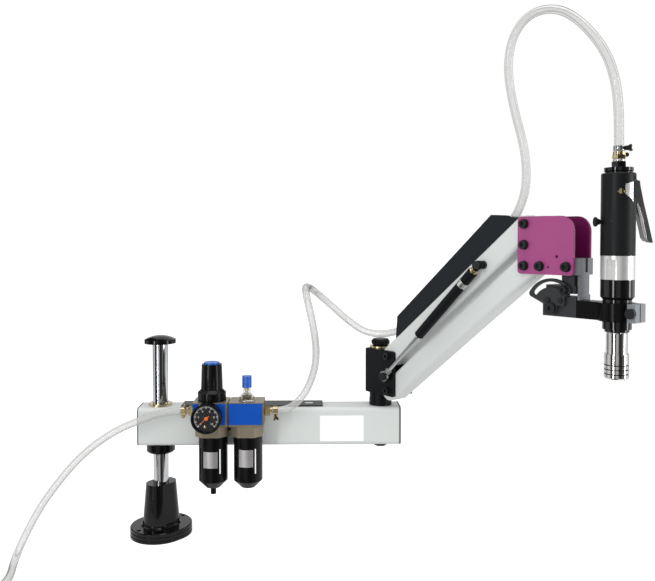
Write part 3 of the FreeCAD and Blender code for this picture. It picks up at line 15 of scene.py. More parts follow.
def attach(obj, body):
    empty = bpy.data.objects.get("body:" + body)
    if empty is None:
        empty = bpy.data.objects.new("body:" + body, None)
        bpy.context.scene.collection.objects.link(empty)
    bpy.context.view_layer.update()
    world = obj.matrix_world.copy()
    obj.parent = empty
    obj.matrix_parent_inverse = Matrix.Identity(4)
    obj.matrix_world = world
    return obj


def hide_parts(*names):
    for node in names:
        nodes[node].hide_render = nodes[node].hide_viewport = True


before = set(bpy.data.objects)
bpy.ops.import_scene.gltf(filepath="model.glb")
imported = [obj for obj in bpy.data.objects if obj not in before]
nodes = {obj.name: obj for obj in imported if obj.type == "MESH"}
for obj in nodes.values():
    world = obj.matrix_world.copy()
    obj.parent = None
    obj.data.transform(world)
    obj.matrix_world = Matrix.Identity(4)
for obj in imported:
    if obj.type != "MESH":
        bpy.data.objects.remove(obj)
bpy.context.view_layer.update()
MM = 0.001

# %% [markdown]
# ## Where things are
# A photograph of this machine shows the upper arm swung towards us and lifted. Rather than work
# out every point in world numbers, each part of the machine gets a frame of its own, as a fitter
# would measure it: along the arm, along a link, or from the motor's axis. A Matrix turns points
# from such a frame into the world.

# %% Frames of the arm, the link, the head and the motor
SWING = math.radians(51.7)
LIFT = math.radians(38.8)
POST_X = 440.0 * MM
PIVOT_OUT = 46.0 * MM
HIGH_PIVOT_Z = 363.0 * MM
LINK_LENGTH = 402.0 * MM

arm_frame = Matrix.Translation((POST_X, 0, 0)) @ Matrix.Rotation(-SWING, 4, "Z")
lean = Matrix.Rotation(-LIFT, 4, "Y")
link_frame = arm_frame @ Matrix.Translation((PIVOT_OUT, 0, HIGH_PIVOT_Z)) @ lean
HEAD_OUT = PIVOT_OUT + LINK_LENGTH * math.cos(LIFT)
HEAD_Z = HIGH_PIVOT_Z + LINK_LENGTH * math.sin(LIFT)
head_frame = arm_frame @ Matrix.Translation((HEAD_OUT, 0, HEAD_Z))
MOTOR_OUT = 146.3 * MM
RING_DOWN = 145.0 * MM
ring_centre = head_frame @ Vector((MOTOR_OUT, 0, -RING_DOWN))
motor_frame = Matrix.Translation(ring_centre)
world_frame = Matrix.Identity(4)
print("motor axis:", [round(value, 4) for value in ring_centre])

# %% [markdown]
# ## The camera
# The camera stands where the photographer's stood: about 1.5 m in front of the lower arm and a
# little above it, looking almost level. Its lens follows from how fast the arm's edges run
# together. The picture's centre is a little below the optical axis, so the lens is shifted.

# %% Set the camera
PICTURE_WIDTH_PX = 655
SENSOR_WIDTH = 36.0
FOCAL_PX = 745.88
AXIS_ABOVE_MIDDLE_PX = 29.57
camera_data = bpy.data.cameras.new("studio_camera")
camera_data.sensor_width = SENSOR_WIDTH
camera_data.lens = SENSOR_WIDTH * FOCAL_PX / PICTURE_WIDTH_PX
camera_data.shift_y = -AXIS_ABOVE_MIDDLE_PX / PICTURE_WIDTH_PX
camera_data.clip_start = 0.05
camera_data.clip_end = 60.0
camera = bpy.data.objects.new("studio_camera", camera_data)
bpy.context.scene.collection.objects.link(camera)
camera.location = (0.30148, -1.48787, 0.59363)
camera.rotation_euler = (math.radians(90.0 - 1.828), 0.0, math.radians(-1.235))
bpy.context.scene.camera = camera
print("lens", round(camera_data.lens, 2), "mm, shift", round(camera_data.shift_y, 4))

# %% [markdown]
# ## Small tools for finishes
# A finish is a Principled shader with something uneven in it, because a real surface is never one
# flat number. A noise texture, stretched to the real grain, moves the tone, the gloss and a fine
# bump. A Bevel node rounds the light on sharp edges, as a broken or painted edge does, without
# touching the mesh.

# %% A finish with grain
def node(tree, kind, **settings):
    """Adds a shader node and sets its inputs, or its properties where it has no such input."""
    made = tree.nodes.new(kind)
    for name, value in settings.items():
        label = name.replace("_", " ")
        found = [socket for socket in made.inputs if socket.name.lower() == label]
        if found:
            found[0].default_value = value
        else:
            setattr(made, name, value)
    return made


def maths(tree, operation, second=None):
    """A Math node, with its second number where that is fixed."""
    made = node(tree, "ShaderNodeMath", operation=operation)
    if second is not None:
        made.inputs[1].default_value = second
    return made


def join(source, output, target, socket):
    """Leads an output of one node to an input of another in the same tree."""
    source.id_data.links.new(source.outputs[output], target.inputs[socket])


def finish(name, colour, rough, metal=0.0, grain=(700, 700, 700), tone=0.06, gloss_spread=0.06,
           bump_mm=0.01, edge_mm=0.5, coat=0.0, second=None, smudge=18.0, shine=0.5):
    """A finish whose tone, gloss and bump follow a grain in metres; second is its other tone."""
    material = bpy.data.materials.new(name)
    material.use_nodes = True
    tree = material.node_tree
    shader = tree.nodes["Principled BSDF"]
    shader.inputs["Metallic"].default_value = metal
    shader.inputs["Coat Weight"].default_value = coat
    shader.inputs["Coat Roughness"].default_value = 0.06
    shader.inputs["Specular IOR Level"].default_value = shine
    place = node(tree, "ShaderNodeTexCoord")
    stretch = node(tree, "ShaderNodeMapping", scale=grain)
    join(place, "Object", stretch, "Vector")
    fine = node(tree, "ShaderNodeTexNoise", scale=1.0, detail=4.0, roughness=0.6)
    join(stretch, "Vector", fine, "Vector")
    broad = node(tree, "ShaderNodeTexNoise", scale=smudge, detail=2.0)
    join(place, "Object", broad, "Vector")
    blended = maths(tree, "MULTIPLY_ADD", 0.5)
    half = maths(tree, "MULTIPLY", 0.5)
    join(broad, "Fac", half, 0)
    join(fine, "Fac", blended, 0)
    join(half, 0, blended, 2)
    tones = node(tree, "ShaderNodeValToRGB")
    tones.color_ramp.elements[0].position = 0.3
    tones.color_ramp.elements[1].position = 0.7
    other = second if second else tuple(channel * (1 - 2 * tone) for channel in colour)
    tones.color_ramp.elements[0].color = (*other, 1)
    tones.color_ramp.elements[1].color = (*colour, 1)
    join(blended, 0, tones, "Fac")
    join(tones, "Color", shader, "Base Color")
    gloss = node(tree, "ShaderNodeMapRange", from_min=0.3, from_max=0.7,
                 to_min=max(0.02, rough - gloss_spread), to_max=rough + gloss_spread)
    join(blended, 0, gloss, "Value")
    join(gloss, "Result", shader, "Roughness")
    edge = node(tree, "ShaderNodeBevel", radius=edge_mm * MM, samples=4)
    bump = node(tree, "ShaderNodeBump", strength=1.0, distance=bump_mm * MM)
    join(fine, "Fac", bump, "Height")
    join(edge, "Normal", bump, "Normal")
    join(bump, "Normal", shader, "Normal")
    return material


# %% [markdown]
# ### Finishes of the stand and the arm
# The base, its collar and the cap are castings under gloss black paint: near black, a thin clear
# coat, and the faint ripple that paint keeps from a cast skin. The column is ground and chromed
# bar, so it is all reflection. The arm and the links are powder coated in a cool off-white, which
# shows as a fine orange peel. The bushes are pale bronze.

# %% Stand and arm finishes
gloss_black = finish("gloss_black_casting", (0.004, 0.004, 0.0045), 0.16, grain=(260, 260, 260),
                     gloss_spread=0.05, bump_mm=0.035, edge_mm=1.0, coat=0.28, shine=0.15)
column_chrome = finish("ground_chrome", (0.68, 0.69, 0.71), 0.11, metal=1.0, grain=(2200, 2200, 12),
                       tone=0.05, gloss_spread=0.03, bump_mm=0.0012, edge_mm=0.6)
arm_paint = finish("off_white_powder_coat", (0.61, 0.635, 0.62), 0.42, grain=(900, 900, 900),
                   tone=0.012, gloss_spread=0.05, bump_mm=0.02, edge_mm=1.2, coat=0.08)
pale_bronze = finish("turned_bronze", (0.80, 0.70, 0.46), 0.24, metal=1.0, grain=(60, 60, 3000),
                     tone=0.10, gloss_spread=0.07, bump_mm=0.004, second=(0.62, 0.52, 0.31))
satin_black = finish("satin_black_paint", (0.006, 0.007, 0.0085), 0.38, grain=(1100, 1100, 1100),
                     gloss_spread=0.06, bump_mm=0.015, edge_mm=0.9, shine=0.14)
cover_black = finish("black_sheet_metal_paint", (0.011, 0.014, 0.017), 0.48, grain=(1300, 1300, 1300),
                     gloss_spread=0.05, bump_mm=0.02, edge_mm=0.8, shine=0.2)
cap_grey = finish("grey_end_cap_plastic", (0.16, 0.165, 0.165), 0.5, grain=(1500, 1500, 1500),
                  bump_mm=0.02, edge_mm=0.8)
print("stand finishes ready")

# %% [markdown]
# ### Metals of the head, motor and fittings
# Bolts are blackened steel: dark, a little blue and softly shining. The tilt parts are milled steel
# with a dark grey phosphate. The chuck is polished steel, the motor's sleeve is turned to a satin,
# and the hose tails are yellow brass. Turned parts get their grain stretched round the axis, so
# their highlights break into fine rings. Shine is how much a surface that isn't bare metal
# mirrors: the blacks get less of it, or they would come out grey in an even white light.

# %% Head, motor and fitting finishes
bolt_black = finish("blackened_bolt_steel", (0.030, 0.031, 0.034), 0.30, metal=0.6,
                    grain=(1500, 1500, 1500), tone=0.2, gloss_spread=0.08, bump_mm=0.008, edge_mm=0.5)
bright_steel = finish("polished_steel", (0.76, 0.75, 0.73), 0.13, metal=1.0, grain=(40, 40, 2600),
                      tone=0.08, gloss_spread=0.05, bump_mm=0.0025, edge_mm=0.5)
plain_steel = finish("drawn_steel", (0.60, 0.60, 0.61), 0.22, metal=1.0, grain=(1800, 1800, 1800),
                     tone=0.10, gloss_spread=0.07, bump_mm=0.004, edge_mm=0.4)
phosphate = finish("grey_phosphate", (0.040, 0.042, 0.045), 0.42, metal=0.2, grain=(1600, 1600, 1600),
                   tone=0.12, gloss_spread=0.08, bump_mm=0.012, edge_mm=0.5, shine=0.3)
milled_grey = finish("milled_grey_steel", (0.20, 0.21, 0.225), 0.36, metal=0.5, grain=(60, 60, 1600),
                     tone=0.10, gloss_spread=0.07, bump_mm=0.006, edge_mm=0.5)
# A lighter milled steel, used only for the clamp's ears: a painted highlight of their lit side.
steel_painted_lit = finish("milled_steel_painted_lit", (0.26, 0.28, 0.30), 0.34, metal=0.35,
                      grain=(60, 60, 1600), tone=0.08, gloss_spread=0.07, bump_mm=0.006, edge_mm=0.5)
bar_black = finish("black_milled_bar", (0.0035, 0.0035, 0.004), 0.30, grain=(1000, 1000, 1000),
                   tone=0.15, bump_mm=0.01, edge_mm=0.7, coat=0.05, shine=0.1)
motor_black = finish("black_motor_housing", (0.005, 0.005, 0.006), 0.15, grain=(50, 50, 1400),
                     tone=0.2, gloss_spread=0.05, bump_mm=0.005, edge_mm=0.6, coat=0.5, shine=0.25)
sleeve_steel = finish("satin_turned_steel", (0.82, 0.82, 0.81), 0.30, metal=0.7, grain=(60, 60, 1500),
                      tone=0.05, gloss_spread=0.06, bump_mm=0.003, edge_mm=0.5)
wing_metal = finish("worn_wing_screw", (0.26, 0.23, 0.16), 0.30, metal=0.8, grain=(1400, 1400, 1400),
                    tone=0.2, gloss_spread=0.08, bump_mm=0.008, edge_mm=0.4, second=(0.06, 0.05, 0.035))
brass = finish("yellow_brass", (0.78, 0.66, 0.40), 0.22, metal=1.0, grain=(1400, 1400, 1400),
               tone=0.12, gloss_spread=0.08, bump_mm=0.006, edge_mm=0.4, second=(0.46, 0.36, 0.19))
nickel = finish("polished_nickel", (0.80, 0.80, 0.79), 0.16, metal=0.85, grain=(60, 60, 1500),
                tone=0.06, gloss_spread=0.05, bump_mm=0.003, edge_mm=0.4)
lever_steel = finish("smoked_lever_steel", (0.22, 0.225, 0.23), 0.30, metal=0.8,
                     grain=(900, 900, 60), tone=0.10, gloss_spread=0.08, bump_mm=0.006, edge_mm=0.5)
magenta = finish("magenta_powder_coat", (0.33, 0.045, 0.190), 0.34, grain=(800, 800, 800),
                 tone=0.03, gloss_spread=0.05, bump_mm=0.02, edge_mm=1.1, coat=0.3)
# The far plate gets the same magenta paint made darker: a painted shade for the side turned from the
# light.
magenta_painted_shade = finish("magenta_powder_coat_painted_shade", (0.13, 0.004, 0.066), 0.36, grain=(800, 800, 800),
                     tone=0.03, gloss_spread=0.05, bump_mm=0.02, edge_mm=1.1, coat=0.1, shine=0.25)
grip_black = finish("moulded_grip_black", (0.008, 0.009, 0.010), 0.44, grain=(1800, 1800, 1800),
                    tone=0.15, gloss_spread=0.07, bump_mm=0.03, edge_mm=0.8, shine=0.2)
print("head finishes ready")

# %% [markdown]
# ### Plastics and die castings of the air unit
# The two bodies are die-cast zinc under a champagne lacquer. Their front plates and the oil knob
# are bright blue, the pressure knob, bonnet, gauge and bowl guards are black moulded plastic.

# %% Air unit finishes
air_metal = finish("champagne_die_casting", (0.29, 0.255, 0.185), 0.33, metal=0.5,
                   grain=(600, 600, 600), tone=0.10, gloss_spread=0.07, bump_mm=0.03, edge_mm=1.0,
                   second=(0.20, 0.17, 0.12), shine=0.3)
blue_plate = finish("blue_front_plate", (0.002, 0.072, 0.42), 0.35, grain=(1500, 1500, 1500),
                    tone=0.08, bump_mm=0.01, edge_mm=0.6, shine=0.15)
blue_plastic = finish("blue_moulded_plastic", (0.004, 0.105, 0.52), 0.26, grain=(1500, 1500, 1500),
                      tone=0.08, bump_mm=0.01, edge_mm=0.6, coat=0.3)
black_plastic = finish("black_moulded_plastic", (0.004, 0.004, 0.0045), 0.24, grain=(1300, 1300, 1300),
                       tone=0.15, gloss_spread=0.06, bump_mm=0.012, edge_mm=0.8, coat=0.12,
                       shine=0.15)
needle_orange = finish("orange_needle_paint", (0.85, 0.16, 0.02), 0.5, grain=(2500, 2500, 2500),
                       tone=0.08, bump_mm=0.01, edge_mm=0.2)
white_vinyl = finish("white_vinyl", (0.94, 0.94, 0.94), 0.38, grain=(1200, 1200, 1200), tone=0.01,
                     bump_mm=0.008, edge_mm=0.3, coat=0.2)
silver_label = finish("silver_foil_label", (0.62, 0.60, 0.61), 0.36, metal=0.75, grain=(3, 1200, 3),
                      tone=0.10, gloss_spread=0.08, bump_mm=0.004, edge_mm=0.2)
dial_black = finish("black_dial_card", (0.010, 0.010, 0.011), 0.55, grain=(2000, 2000, 2000),
                    tone=0.2, bump_mm=0.01, edge_mm=0.2)
dial_white = finish("white_dial_ink", (0.85, 0.85, 0.82), 0.5, grain=(2500, 2500, 2500), tone=0.04,
                    bump_mm=0.004, edge_mm=0.1)
print("air unit finishes ready")

# %% [markdown]
# ### Clear hose and clear bowls
# Clear PVC is nearly invisible where we look straight through its two walls, and turns milky grey
# where we look along them, at its sides. Tracing two real walls costs many light paths, so the
# finish fades the surface instead: Layer Weight tells how far a point is turned away, and a ramp
# makes the middle thin and the sides dense. A second ramp paints the walls' light and shade into
# the colour by the same measure: a painted dark line where the bore begins, paler painted bands
# and a painted darker outline.

# %% Clear finishes
def clear_finish(name, colour, steps, rough, streak):
    """A clear plastic: steps are (turned away, density, tone with painted light and shade) from the
    middle to the outline.
    """
    material = bpy.data.materials.new(name)
    material.use_nodes = True
    tree = material.node_tree
    shader = tree.nodes["Principled BSDF"]
    shader.inputs["Coat Weight"].default_value = 0.5
    shader.inputs["Coat Roughness"].default_value = 0.05
    view = node(tree, "ShaderNodeLayerWeight", blend=0.5)
    density = node(tree, "ShaderNodeValToRGB")
    painted_tone = node(tree, "ShaderNodeValToRGB")
    for ramp, column in ((density.color_ramp, 1), (painted_tone.color_ramp, 2)):
        while len(ramp.elements) < len(steps):
            ramp.elements.new(0.5)
        for element, step in zip(ramp.elements, steps):
            element.position = step[0]
            level = step[column]
            element.color = ((level, level, level, 1) if column == 1 else
                             (*(channel * level for channel in colour), 1))
    place = node(tree, "ShaderNodeTexCoord")
    haze = node(tree, "ShaderNodeTexNoise", scale=streak, detail=2.0)
    join(place, "Object", haze, "Vector")
    gloss = node(tree, "ShaderNodeMapRange", to_min=rough * 0.6, to_max=rough * 1.6)
    join(haze, "Fac", gloss, "Value")
    join(gloss, "Result", shader, "Roughness")
    thick = maths(tree, "MULTIPLY_ADD", 0.06)
    join(haze, "Fac", thick, 0)
    join(density, "Color", thick, 2)
    for ramp in (density, painted_tone):
        join(view, "Facing", ramp, "Fac")
    join(painted_tone, "Color", shader, "Base Color")
    join(thick, 0, shader, "Alpha")
    return material


# The third number of each step is painted light and shade: the hose's dark bore line, pale band and
# dark outline, the bowl's darker outline and the dome's dark and bright rings are painted shade and
# painted highlights.
clear_hose = clear_finish("clear_hose_plastic", (0.84, 0.85, 0.83), [
    (0.0, 0.42, 0.72), (0.18, 0.46, 0.72), (0.28, 0.76, 0.40), (0.36, 0.52, 0.92), (0.60, 0.76, 0.72),
    (0.78, 0.97, 0.20), (1.0, 0.99, 0.10)], 0.14, 60.0)
clear_bowl = clear_finish("clear_bowl_plastic", (0.78, 0.82, 0.82), [
    (0.0, 0.25, 1.0), (0.5, 0.35, 0.9), (0.9, 0.7, 0.6), (1.0, 0.85, 0.4)], 0.10, 40.0)
smoky_dome = clear_finish("smoky_dome_plastic", (0.42, 0.38, 0.32), [
    (0.0, 0.10, 0.8), (0.3, 0.16, 0.8), (0.45, 0.5, 0.3), (0.6, 0.3, 1.6), (0.9, 0.75, 0.5),
    (1.0, 0.9, 0.3)], 0.08, 40.0)
gauge_glass = clear_finish("gauge_glass", (0.03, 0.03, 0.03), [
    (0.0, 0.0, 1.0), (0.7, 0.03, 1.0), (1.0, 0.4, 1.0)], 0.05, 30.0)
print("clear finishes ready")

# %% [markdown]
# ### Two finishes on one piece
# The fitting on top of the motor was drawn as one solid, but its ring and nut are black and its
# hose tail is brass. The bar that clamps the motor is black too, and its ears are painted lighter,
# a painted highlight of the light on their side. Rather than cut such a solid, its finish measures
# how far a point lies along one way and changes from one finish to the other there.

# %% Finish that changes along one way
def parted_finish(name, low, high, way, limit):
    """The low finish up to a limit in metres along a way, and the high one beyond it."""
    material = low.copy()
    material.name = name
    tree = material.node_tree
    shader = tree.nodes["Principled BSDF"]
    place = node(tree, "ShaderNodeTexCoord")
    along = node(tree, "ShaderNodeVectorMath", operation="DOT_PRODUCT")
    along.inputs[1].default_value = way
    above = maths(tree, "GREATER_THAN", limit)
    join(place, "Object", along, 0)
    join(along, "Value", above, 0)
    high_shader = high.node_tree.nodes["Principled BSDF"]
    ramps = [made for made in high.node_tree.nodes if made.type == "VALTORGB"]
    for socket, value in (("Base Color", tuple(ramps[0].color_ramp.elements[1].color)),
                          ("Metallic", high_shader.inputs["Metallic"].default_value)):
        mix = node(tree, "ShaderNodeMix", data_type="RGBA" if socket == "Base Color" else "FLOAT")
        kind = "RGBA" if socket == "Base Color" else "VALUE"
        ends = [found for found in mix.inputs if found.type == kind and found.name in "AB"]
        result = [found for found in mix.outputs if found.type == kind][0]
        factor = [found for found in mix.inputs if found.name == "Factor"][0]
        tree.links.new(above.outputs[0], factor)
        before = shader.inputs[socket]
        if before.is_linked:
            tree.links.new(before.links[0].from_socket, ends[0])
        else:
            ends[0].default_value = before.default_value
        ends[1].default_value = value
        tree.links.new(result, before)
    return material


INLET_TOP = 234.5 * MM
EAR_START = 24.0 * MM
arm_way = Vector((math.cos(SWING), -math.sin(SWING), 0))
motor_top_metal = parted_finish("black_and_brass_fitting", motor_black, brass, (0, 0, 1),
                                ring_centre.z + INLET_TOP)
# From the start of the ears on, the clamp is painted lighter, a painted highlight of the ears' lit
# side.
clamp_with_painted_lit_ears = parted_finish("black_bar_with_painted_lit_ears", bar_black, steel_painted_lit, arm_way,
                            ring_centre.dot(arm_way) + EAR_START)
print("parted finishes ready")

# %% [markdown]
# ## Dressing the CAD pieces
# Most solids already have the right shape, so they keep their meshes and only get a finish. A
# table says which; anything left out would show at once as plain grey.

# %% Give every CAD piece its finish
dress = {
    gloss_black: ["base_casting", "column_cap", "height_collar"],
    column_chrome: ["column"],
    lever_steel: ["throttle_lever"],
    arm_paint: ["arm_tube", "upper_link", "lower_link"],
    pale_bronze: ["column_bushes", "swivel_bush"],
    satin_black: ["swivel_block", "thrust_bearing", "swivel_knob", "spring_body"],
    cover_black: ["hose_cover"],
    cap_grey: ["arm_end_caps"],
    milled_grey: ["head_nose_block", "stop_post"],
    phosphate: ["service_bracket", "tilt_block", "sector_plate", "tilt_bracket"],
    clamp_with_painted_lit_ears: ["clamp_arm"],
    bolt_black: ["block_pins", "spring_bolt", "head_bolts", "tool_arm_bolts", "swivel_post",
                 "collar_screw"],
    bright_steel: ["chuck_body", "chuck_sleeve"],
    sleeve_steel: ["motor_sleeve"],
    plain_steel: ["lever_pin", "supply_coupling", "spring_rod"],
    motor_black: ["motor_nose"],
    grip_black: ["motor_grip", "reverse_button"],
    motor_top_metal: ["motor_inlet"],
    brass: ["hose_fittings"],
    magenta: ["head_plate_near"],
    magenta_painted_shade: ["head_plate_far"],
    air_metal: ["regulator_body", "oiler_body"],
    blue_plate: ["front_plates"],
    blue_plastic: ["oil_knob"],
    black_plastic: ["pressure_gauge", "regulator_bonnet", "regulator_knob", "bowl_guards",
                    "drain_valve"],
    needle_orange: ["gauge_needle"],
    clear_bowl: ["bowls", "sight_dome"],
    smoky_dome: ["dome_base"],
    clear_hose: ["arm_hose", "supply_hose", "supply_coil", "feed_hose", "loop_hose"],
}
dressed = 0
for material, names in dress.items():
    for name in names:
        slots = nodes[name].data.materials
        slots.clear()
        slots.append(material)
        dressed += 1
print("dressed", dressed, "of", len(nodes))

# %% [markdown]
# ## The hoses
# Clear PVC air hose, 14 mm outside, is stiff enough to stand in wide arcs. Each hose is one smooth
# curve whose control points are the stations of its route, so it flows past them without a kink.
# The supply hose leaves the air unit, runs down to the bench and ends in a storage coil with its
# steel coupling. The feed hose climbs from the oiler into the black cover, and the loop hose comes
# out of the cover at the head and arches over to the motor.

# %% A hose from its stations
HOSE_RADIUS = 7.0 * MM
HOSE_SIDES = 6


def hose(name, stations, body, *stands_for):
    """One smooth hose through the pull of its stations, riding on a body."""
    curve = bpy.data.curves.new(name, "CURVE")
    curve.dimensions = "3D"
    curve.bevel_depth = HOSE_RADIUS
    curve.bevel_resolution = HOSE_SIDES
    curve.use_fill_caps = True
    spline = curve.splines.new("NURBS")
    spline.points.add(len(stations) - 1)
    for point, place in zip(spline.points, stations):
        point.co = (*place, 1.0)
    spline.order_u = 3
    spline.use_endpoint_u = True
    spline.resolution_u = 10
    made = bpy.data.objects.new(name, curve)
    bpy.context.scene.collection.objects.link(made)
    curve.materials.append(clear_hose)
    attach(made, body)
    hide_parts(*stands_for)
    return made


def run_length(made):
    """The length of a hose along its own smooth line."""
    bare = made.data.copy()
    bare.bevel_depth = 0.0
    probe = bpy.data.objects.new("probe", bare)
    mesh = bpy.data.meshes.new_from_object(probe)
    line = [vertex.co.copy() for vertex in mesh.vertices]
    total = sum((after - before).length for before, after in zip(line, line[1:]))
    bpy.data.objects.remove(probe)
    bpy.data.curves.remove(bare)
    bpy.data.meshes.remove(mesh)
    return total


def to_metres(points):
    return [Vector(point) * MM for point in points]


# %% [markdown]
# ### Supply hose and its coil
# The length that isn't on show is wound into a flat coil on the bench, as it would be for storage:
# turns 16 mm apart, about twelve hose widths across, sixteen control points to a turn. A smooth
# curve cuts a little inside its control points, so they stand slightly outside the turn.

# %% Supply hose with its storage coil
supply_stations = to_metres([
    (61.9, -60.5, 260.0), (26.0, -60.5, 260.0), (-20.0, -62.0, 246.0), (-77.0, -68.0, 223.0),
    (-140.0, -71.0, 177.0), (-199.0, -88.0, 103.0), (-230.0, -103.0, 44.0), (-237.0, -146.0, 7.0),
    (-218.0, -210.0, 7.0), (-221.0, -270.0, 7.0), (-221.0, -330.0, 7.0)])
COIL_RADIUS = 100.0 * MM
COIL_PITCH = 16.0 * MM
HALF_TURNS = 5
POINTS_PER_HALF = 8
END_RADIUS = 45.0 * MM
END_TURN = math.radians(120.0)
END_POINTS = 5
END_RUN = 14.0 * MM

here = supply_stations.pop()
radius = COIL_RADIUS
side = -1
for half in range(HALF_TURNS + 1):
    last = half == HALF_TURNS
    radius_now = END_RADIUS if last else radius
    sweep = END_TURN if last else math.pi
    count = END_POINTS if last else POINTS_PER_HALF
    middle = here + Vector((side * radius_now, 0, 0))
    start = 0.0 if side < 0 else math.pi
    out = radius_now / math.cos(sweep / count / 2)
    for index in range(count):
        angle = start - sweep * (index + 0.5) / count
        supply_stations.append(middle + Vector((math.cos(angle), math.sin(angle), 0)) * out)
    angle = start - sweep
    here = middle + Vector((math.cos(angle), math.sin(angle), 0)) * radius_now
    radius -= COIL_PITCH / 2
    side = -side
supply_stations.append(here + Vector((math.sin(angle), -math.cos(angle), 0)) * END_RUN)
supply_hose = hose("supply_line", supply_stations, "lower_arm", "supply_hose", "supply_coil")
supply_length = run_length(supply_hose)
print("supply hose", round(supply_length, 3), "m")

# %% [markdown]
# ### Feed hose and loop hose
# Both have one end inside the black cover on the upper link, so the stations of that end lie on
# the link itself.

# %% Feed hose and loop hose
HOSE_ON_LINK = 27.4 * MM


def on_link(distance):
    return link_frame @ Vector((distance * MM, 0, HOSE_ON_LINK))


feed_stations = to_metres([
    (225.9, -60.5, 260.0), (246.5, -60.5, 260.0), (270.0, -59.0, 270.0), (297.0, -53.0, 303.0),
    (313.0, -69.0, 363.0), (304.0, -94.0, 434.0), (289.0, -67.0, 492.0), (292.0, -2.0, 499.0),
    (334.0, 32.0, 462.0), (376.0, 2.0, 425.0), (413.0, -16.0, 402.0), (460.0, -36.0, 405.0)])
feed_stations += [on_link(63.0), on_link(100.0)]
feed_hose = hose("feed_line", feed_stations, "lower_arm", "feed_hose")
feed_length = run_length(feed_hose)

loop_stations = [on_link(330.0), on_link(367.0)]
loop_stations += [head_frame @ Vector((out * MM, 0, up * MM)) for out, up in (
    (-21, 38), (-14, 73), (-18, 122), (-42, 195), (-55, 260), (-46, 310), (-15, 341), (34, 341),
    (77, 314), (121, 261), (141, 208), (146.3, 149), (146.3, 93.6))]
loop_hose = hose("loop_line", loop_stations, "head", "loop_hose")
loop_length = run_length(loop_hose)
print("feed hose", round(feed_length, 3), "m, loop hose", round(loop_length, 3), "m")

# %% [markdown]
# ## Floor, backdrop and light
# The photograph was taken on a white sweep: floor and wall are one sheet with a wide bend between,
# so there is no horizon. The sheet is lit like everything else, and for the camera and for glass it
# also glows, so it comes out white without more light on the machine. Mirrors see a fainter glow,
# so that chrome keeps its darks. The shadow stays, because it only takes the lit part away.

# %% Build the white sweep
def sweep_sheet():
    """A sheet that lies on the ground and bends up into a wall behind the machine."""
    half_width, front, back, bend, top = 1.3, -0.24, 1.7, 1.4, 5.0
    bend_steps = 24
    profile = [(front, 0.0), (back, 0.0)]
    for step in range(1, bend_steps + 1):
        angle = math.pi / 2 * step / bend_steps
        profile.append((back + bend * math.sin(angle), bend * (1 - math.cos(angle))))
    profile.append((back + bend, top))
    shape = bmesh.new()
    rows = [[shape.verts.new((x, y, z)) for x in (-half_width, half_width)] for y, z in profile]
    for low, high in zip(rows, rows[1:]):
        shape.faces.new((low[0], low[1], high[1], high[0]))
    mesh = bpy.data.meshes.new("white_sweep")
    shape.to_mesh(mesh)
    shape.free()
    mesh.polygons.foreach_set("use_smooth", [True] * len(mesh.polygons))
    made = bpy.data.objects.new("white_sweep", mesh)
    bpy.context.scene.collection.objects.link(made)
    return made


SWEEP_TONE = 0.50
SWEEP_GLOW = 0.78
MIRROR_GLOW = 0.30
paper = bpy.data.materials.new("white_paper")
paper.use_nodes = True
tree = paper.node_tree
tree.nodes.remove(tree.nodes["Principled BSDF"])
matte = node(tree, "ShaderNodeBsdfDiffuse", color=(SWEEP_TONE, SWEEP_TONE, SWEEP_TONE, 1))
glow = node(tree, "ShaderNodeEmission")
glow.inputs["Color"].default_value = (1, 1, 1, 1)
both = node(tree, "ShaderNodeAddShader")
rays = node(tree, "ShaderNodeLightPath")
seen = maths(tree, "MAXIMUM")
mirrored = maths(tree, "MULTIPLY", MIRROR_GLOW)
level = maths(tree, "MULTIPLY_ADD", SWEEP_GLOW)
join(rays, "Is Camera Ray", seen, 0)
join(rays, "Is Transmission Ray", seen, 1)
join(rays, "Is Glossy Ray", mirrored, 0)
join(seen, 0, level, 0)
join(mirrored, 0, level, 2)
join(level, 0, glow, "Strength")
join(matte, 0, both, 0)
join(glow, 0, both, 1)
tree.links.new(both.outputs[0], tree.nodes["Material Output"].inputs["Surface"])
paper.cycles.emission_sampling = "NONE"
sweep = sweep_sheet()
sweep.data.materials.append(paper)
print("sweep ready")

# %% [markdown]
# ### The room and the lamps
# The room gives an even, soft light. What mirrors see of it is another matter: a studio is dark
# behind the photographer, with bright cards beside the lamps, and chrome shows them as streaks.
# A ramp round the horizon holds these cards, from straight behind over the left, the front and the
# right. Two tall soft boxes stand left and right in front, and a wide one hangs above.

# %% Light the machine
ROOM_LEVEL = 0.80
DARK_ROOM = 0.03
CARDS = [(-180, DARK_ROOM), (-124, DARK_ROOM), (-116, 0.70), (-82, 0.75), (-76, DARK_ROOM),
         (-31, DARK_ROOM), (-26, 0.50), (-4, 0.50), (2, DARK_ROOM), (32, DARK_ROOM), (38, 0.16),
         (84, 0.20), (89, 1.00), (124, 0.95), (131, DARK_ROOM)]
room = bpy.data.worlds.new("studio_room")
bpy.context.scene.world = room
room.use_nodes = True
tree = room.node_tree
backdrop = tree.nodes["Background"]
rays = node(tree, "ShaderNodeLightPath")
way = node(tree, "ShaderNodeTexCoord")
apart = node(tree, "ShaderNodeSeparateXYZ")
join(way, "Generated", apart, "Vector")
nearer = maths(tree, "MULTIPLY", -1.0)
join(apart, "Y", nearer, 0)
bearing = maths(tree, "ARCTAN2")
join(apart, "X", bearing, 0)
join(nearer, 0, bearing, 1)
share = node(tree, "ShaderNodeMapRange", from_min=-math.pi, from_max=math.pi)
join(bearing, 0, share, "Value")
cards = node(tree, "ShaderNodeValToRGB")
while len(cards.color_ramp.elements) < len(CARDS):
    cards.color_ramp.elements.new(0.5)
for element, (degrees, level) in zip(cards.color_ramp.elements, CARDS):
    element.position = degrees / 360 + 0.5
    element.color = (level, level, level, 1)
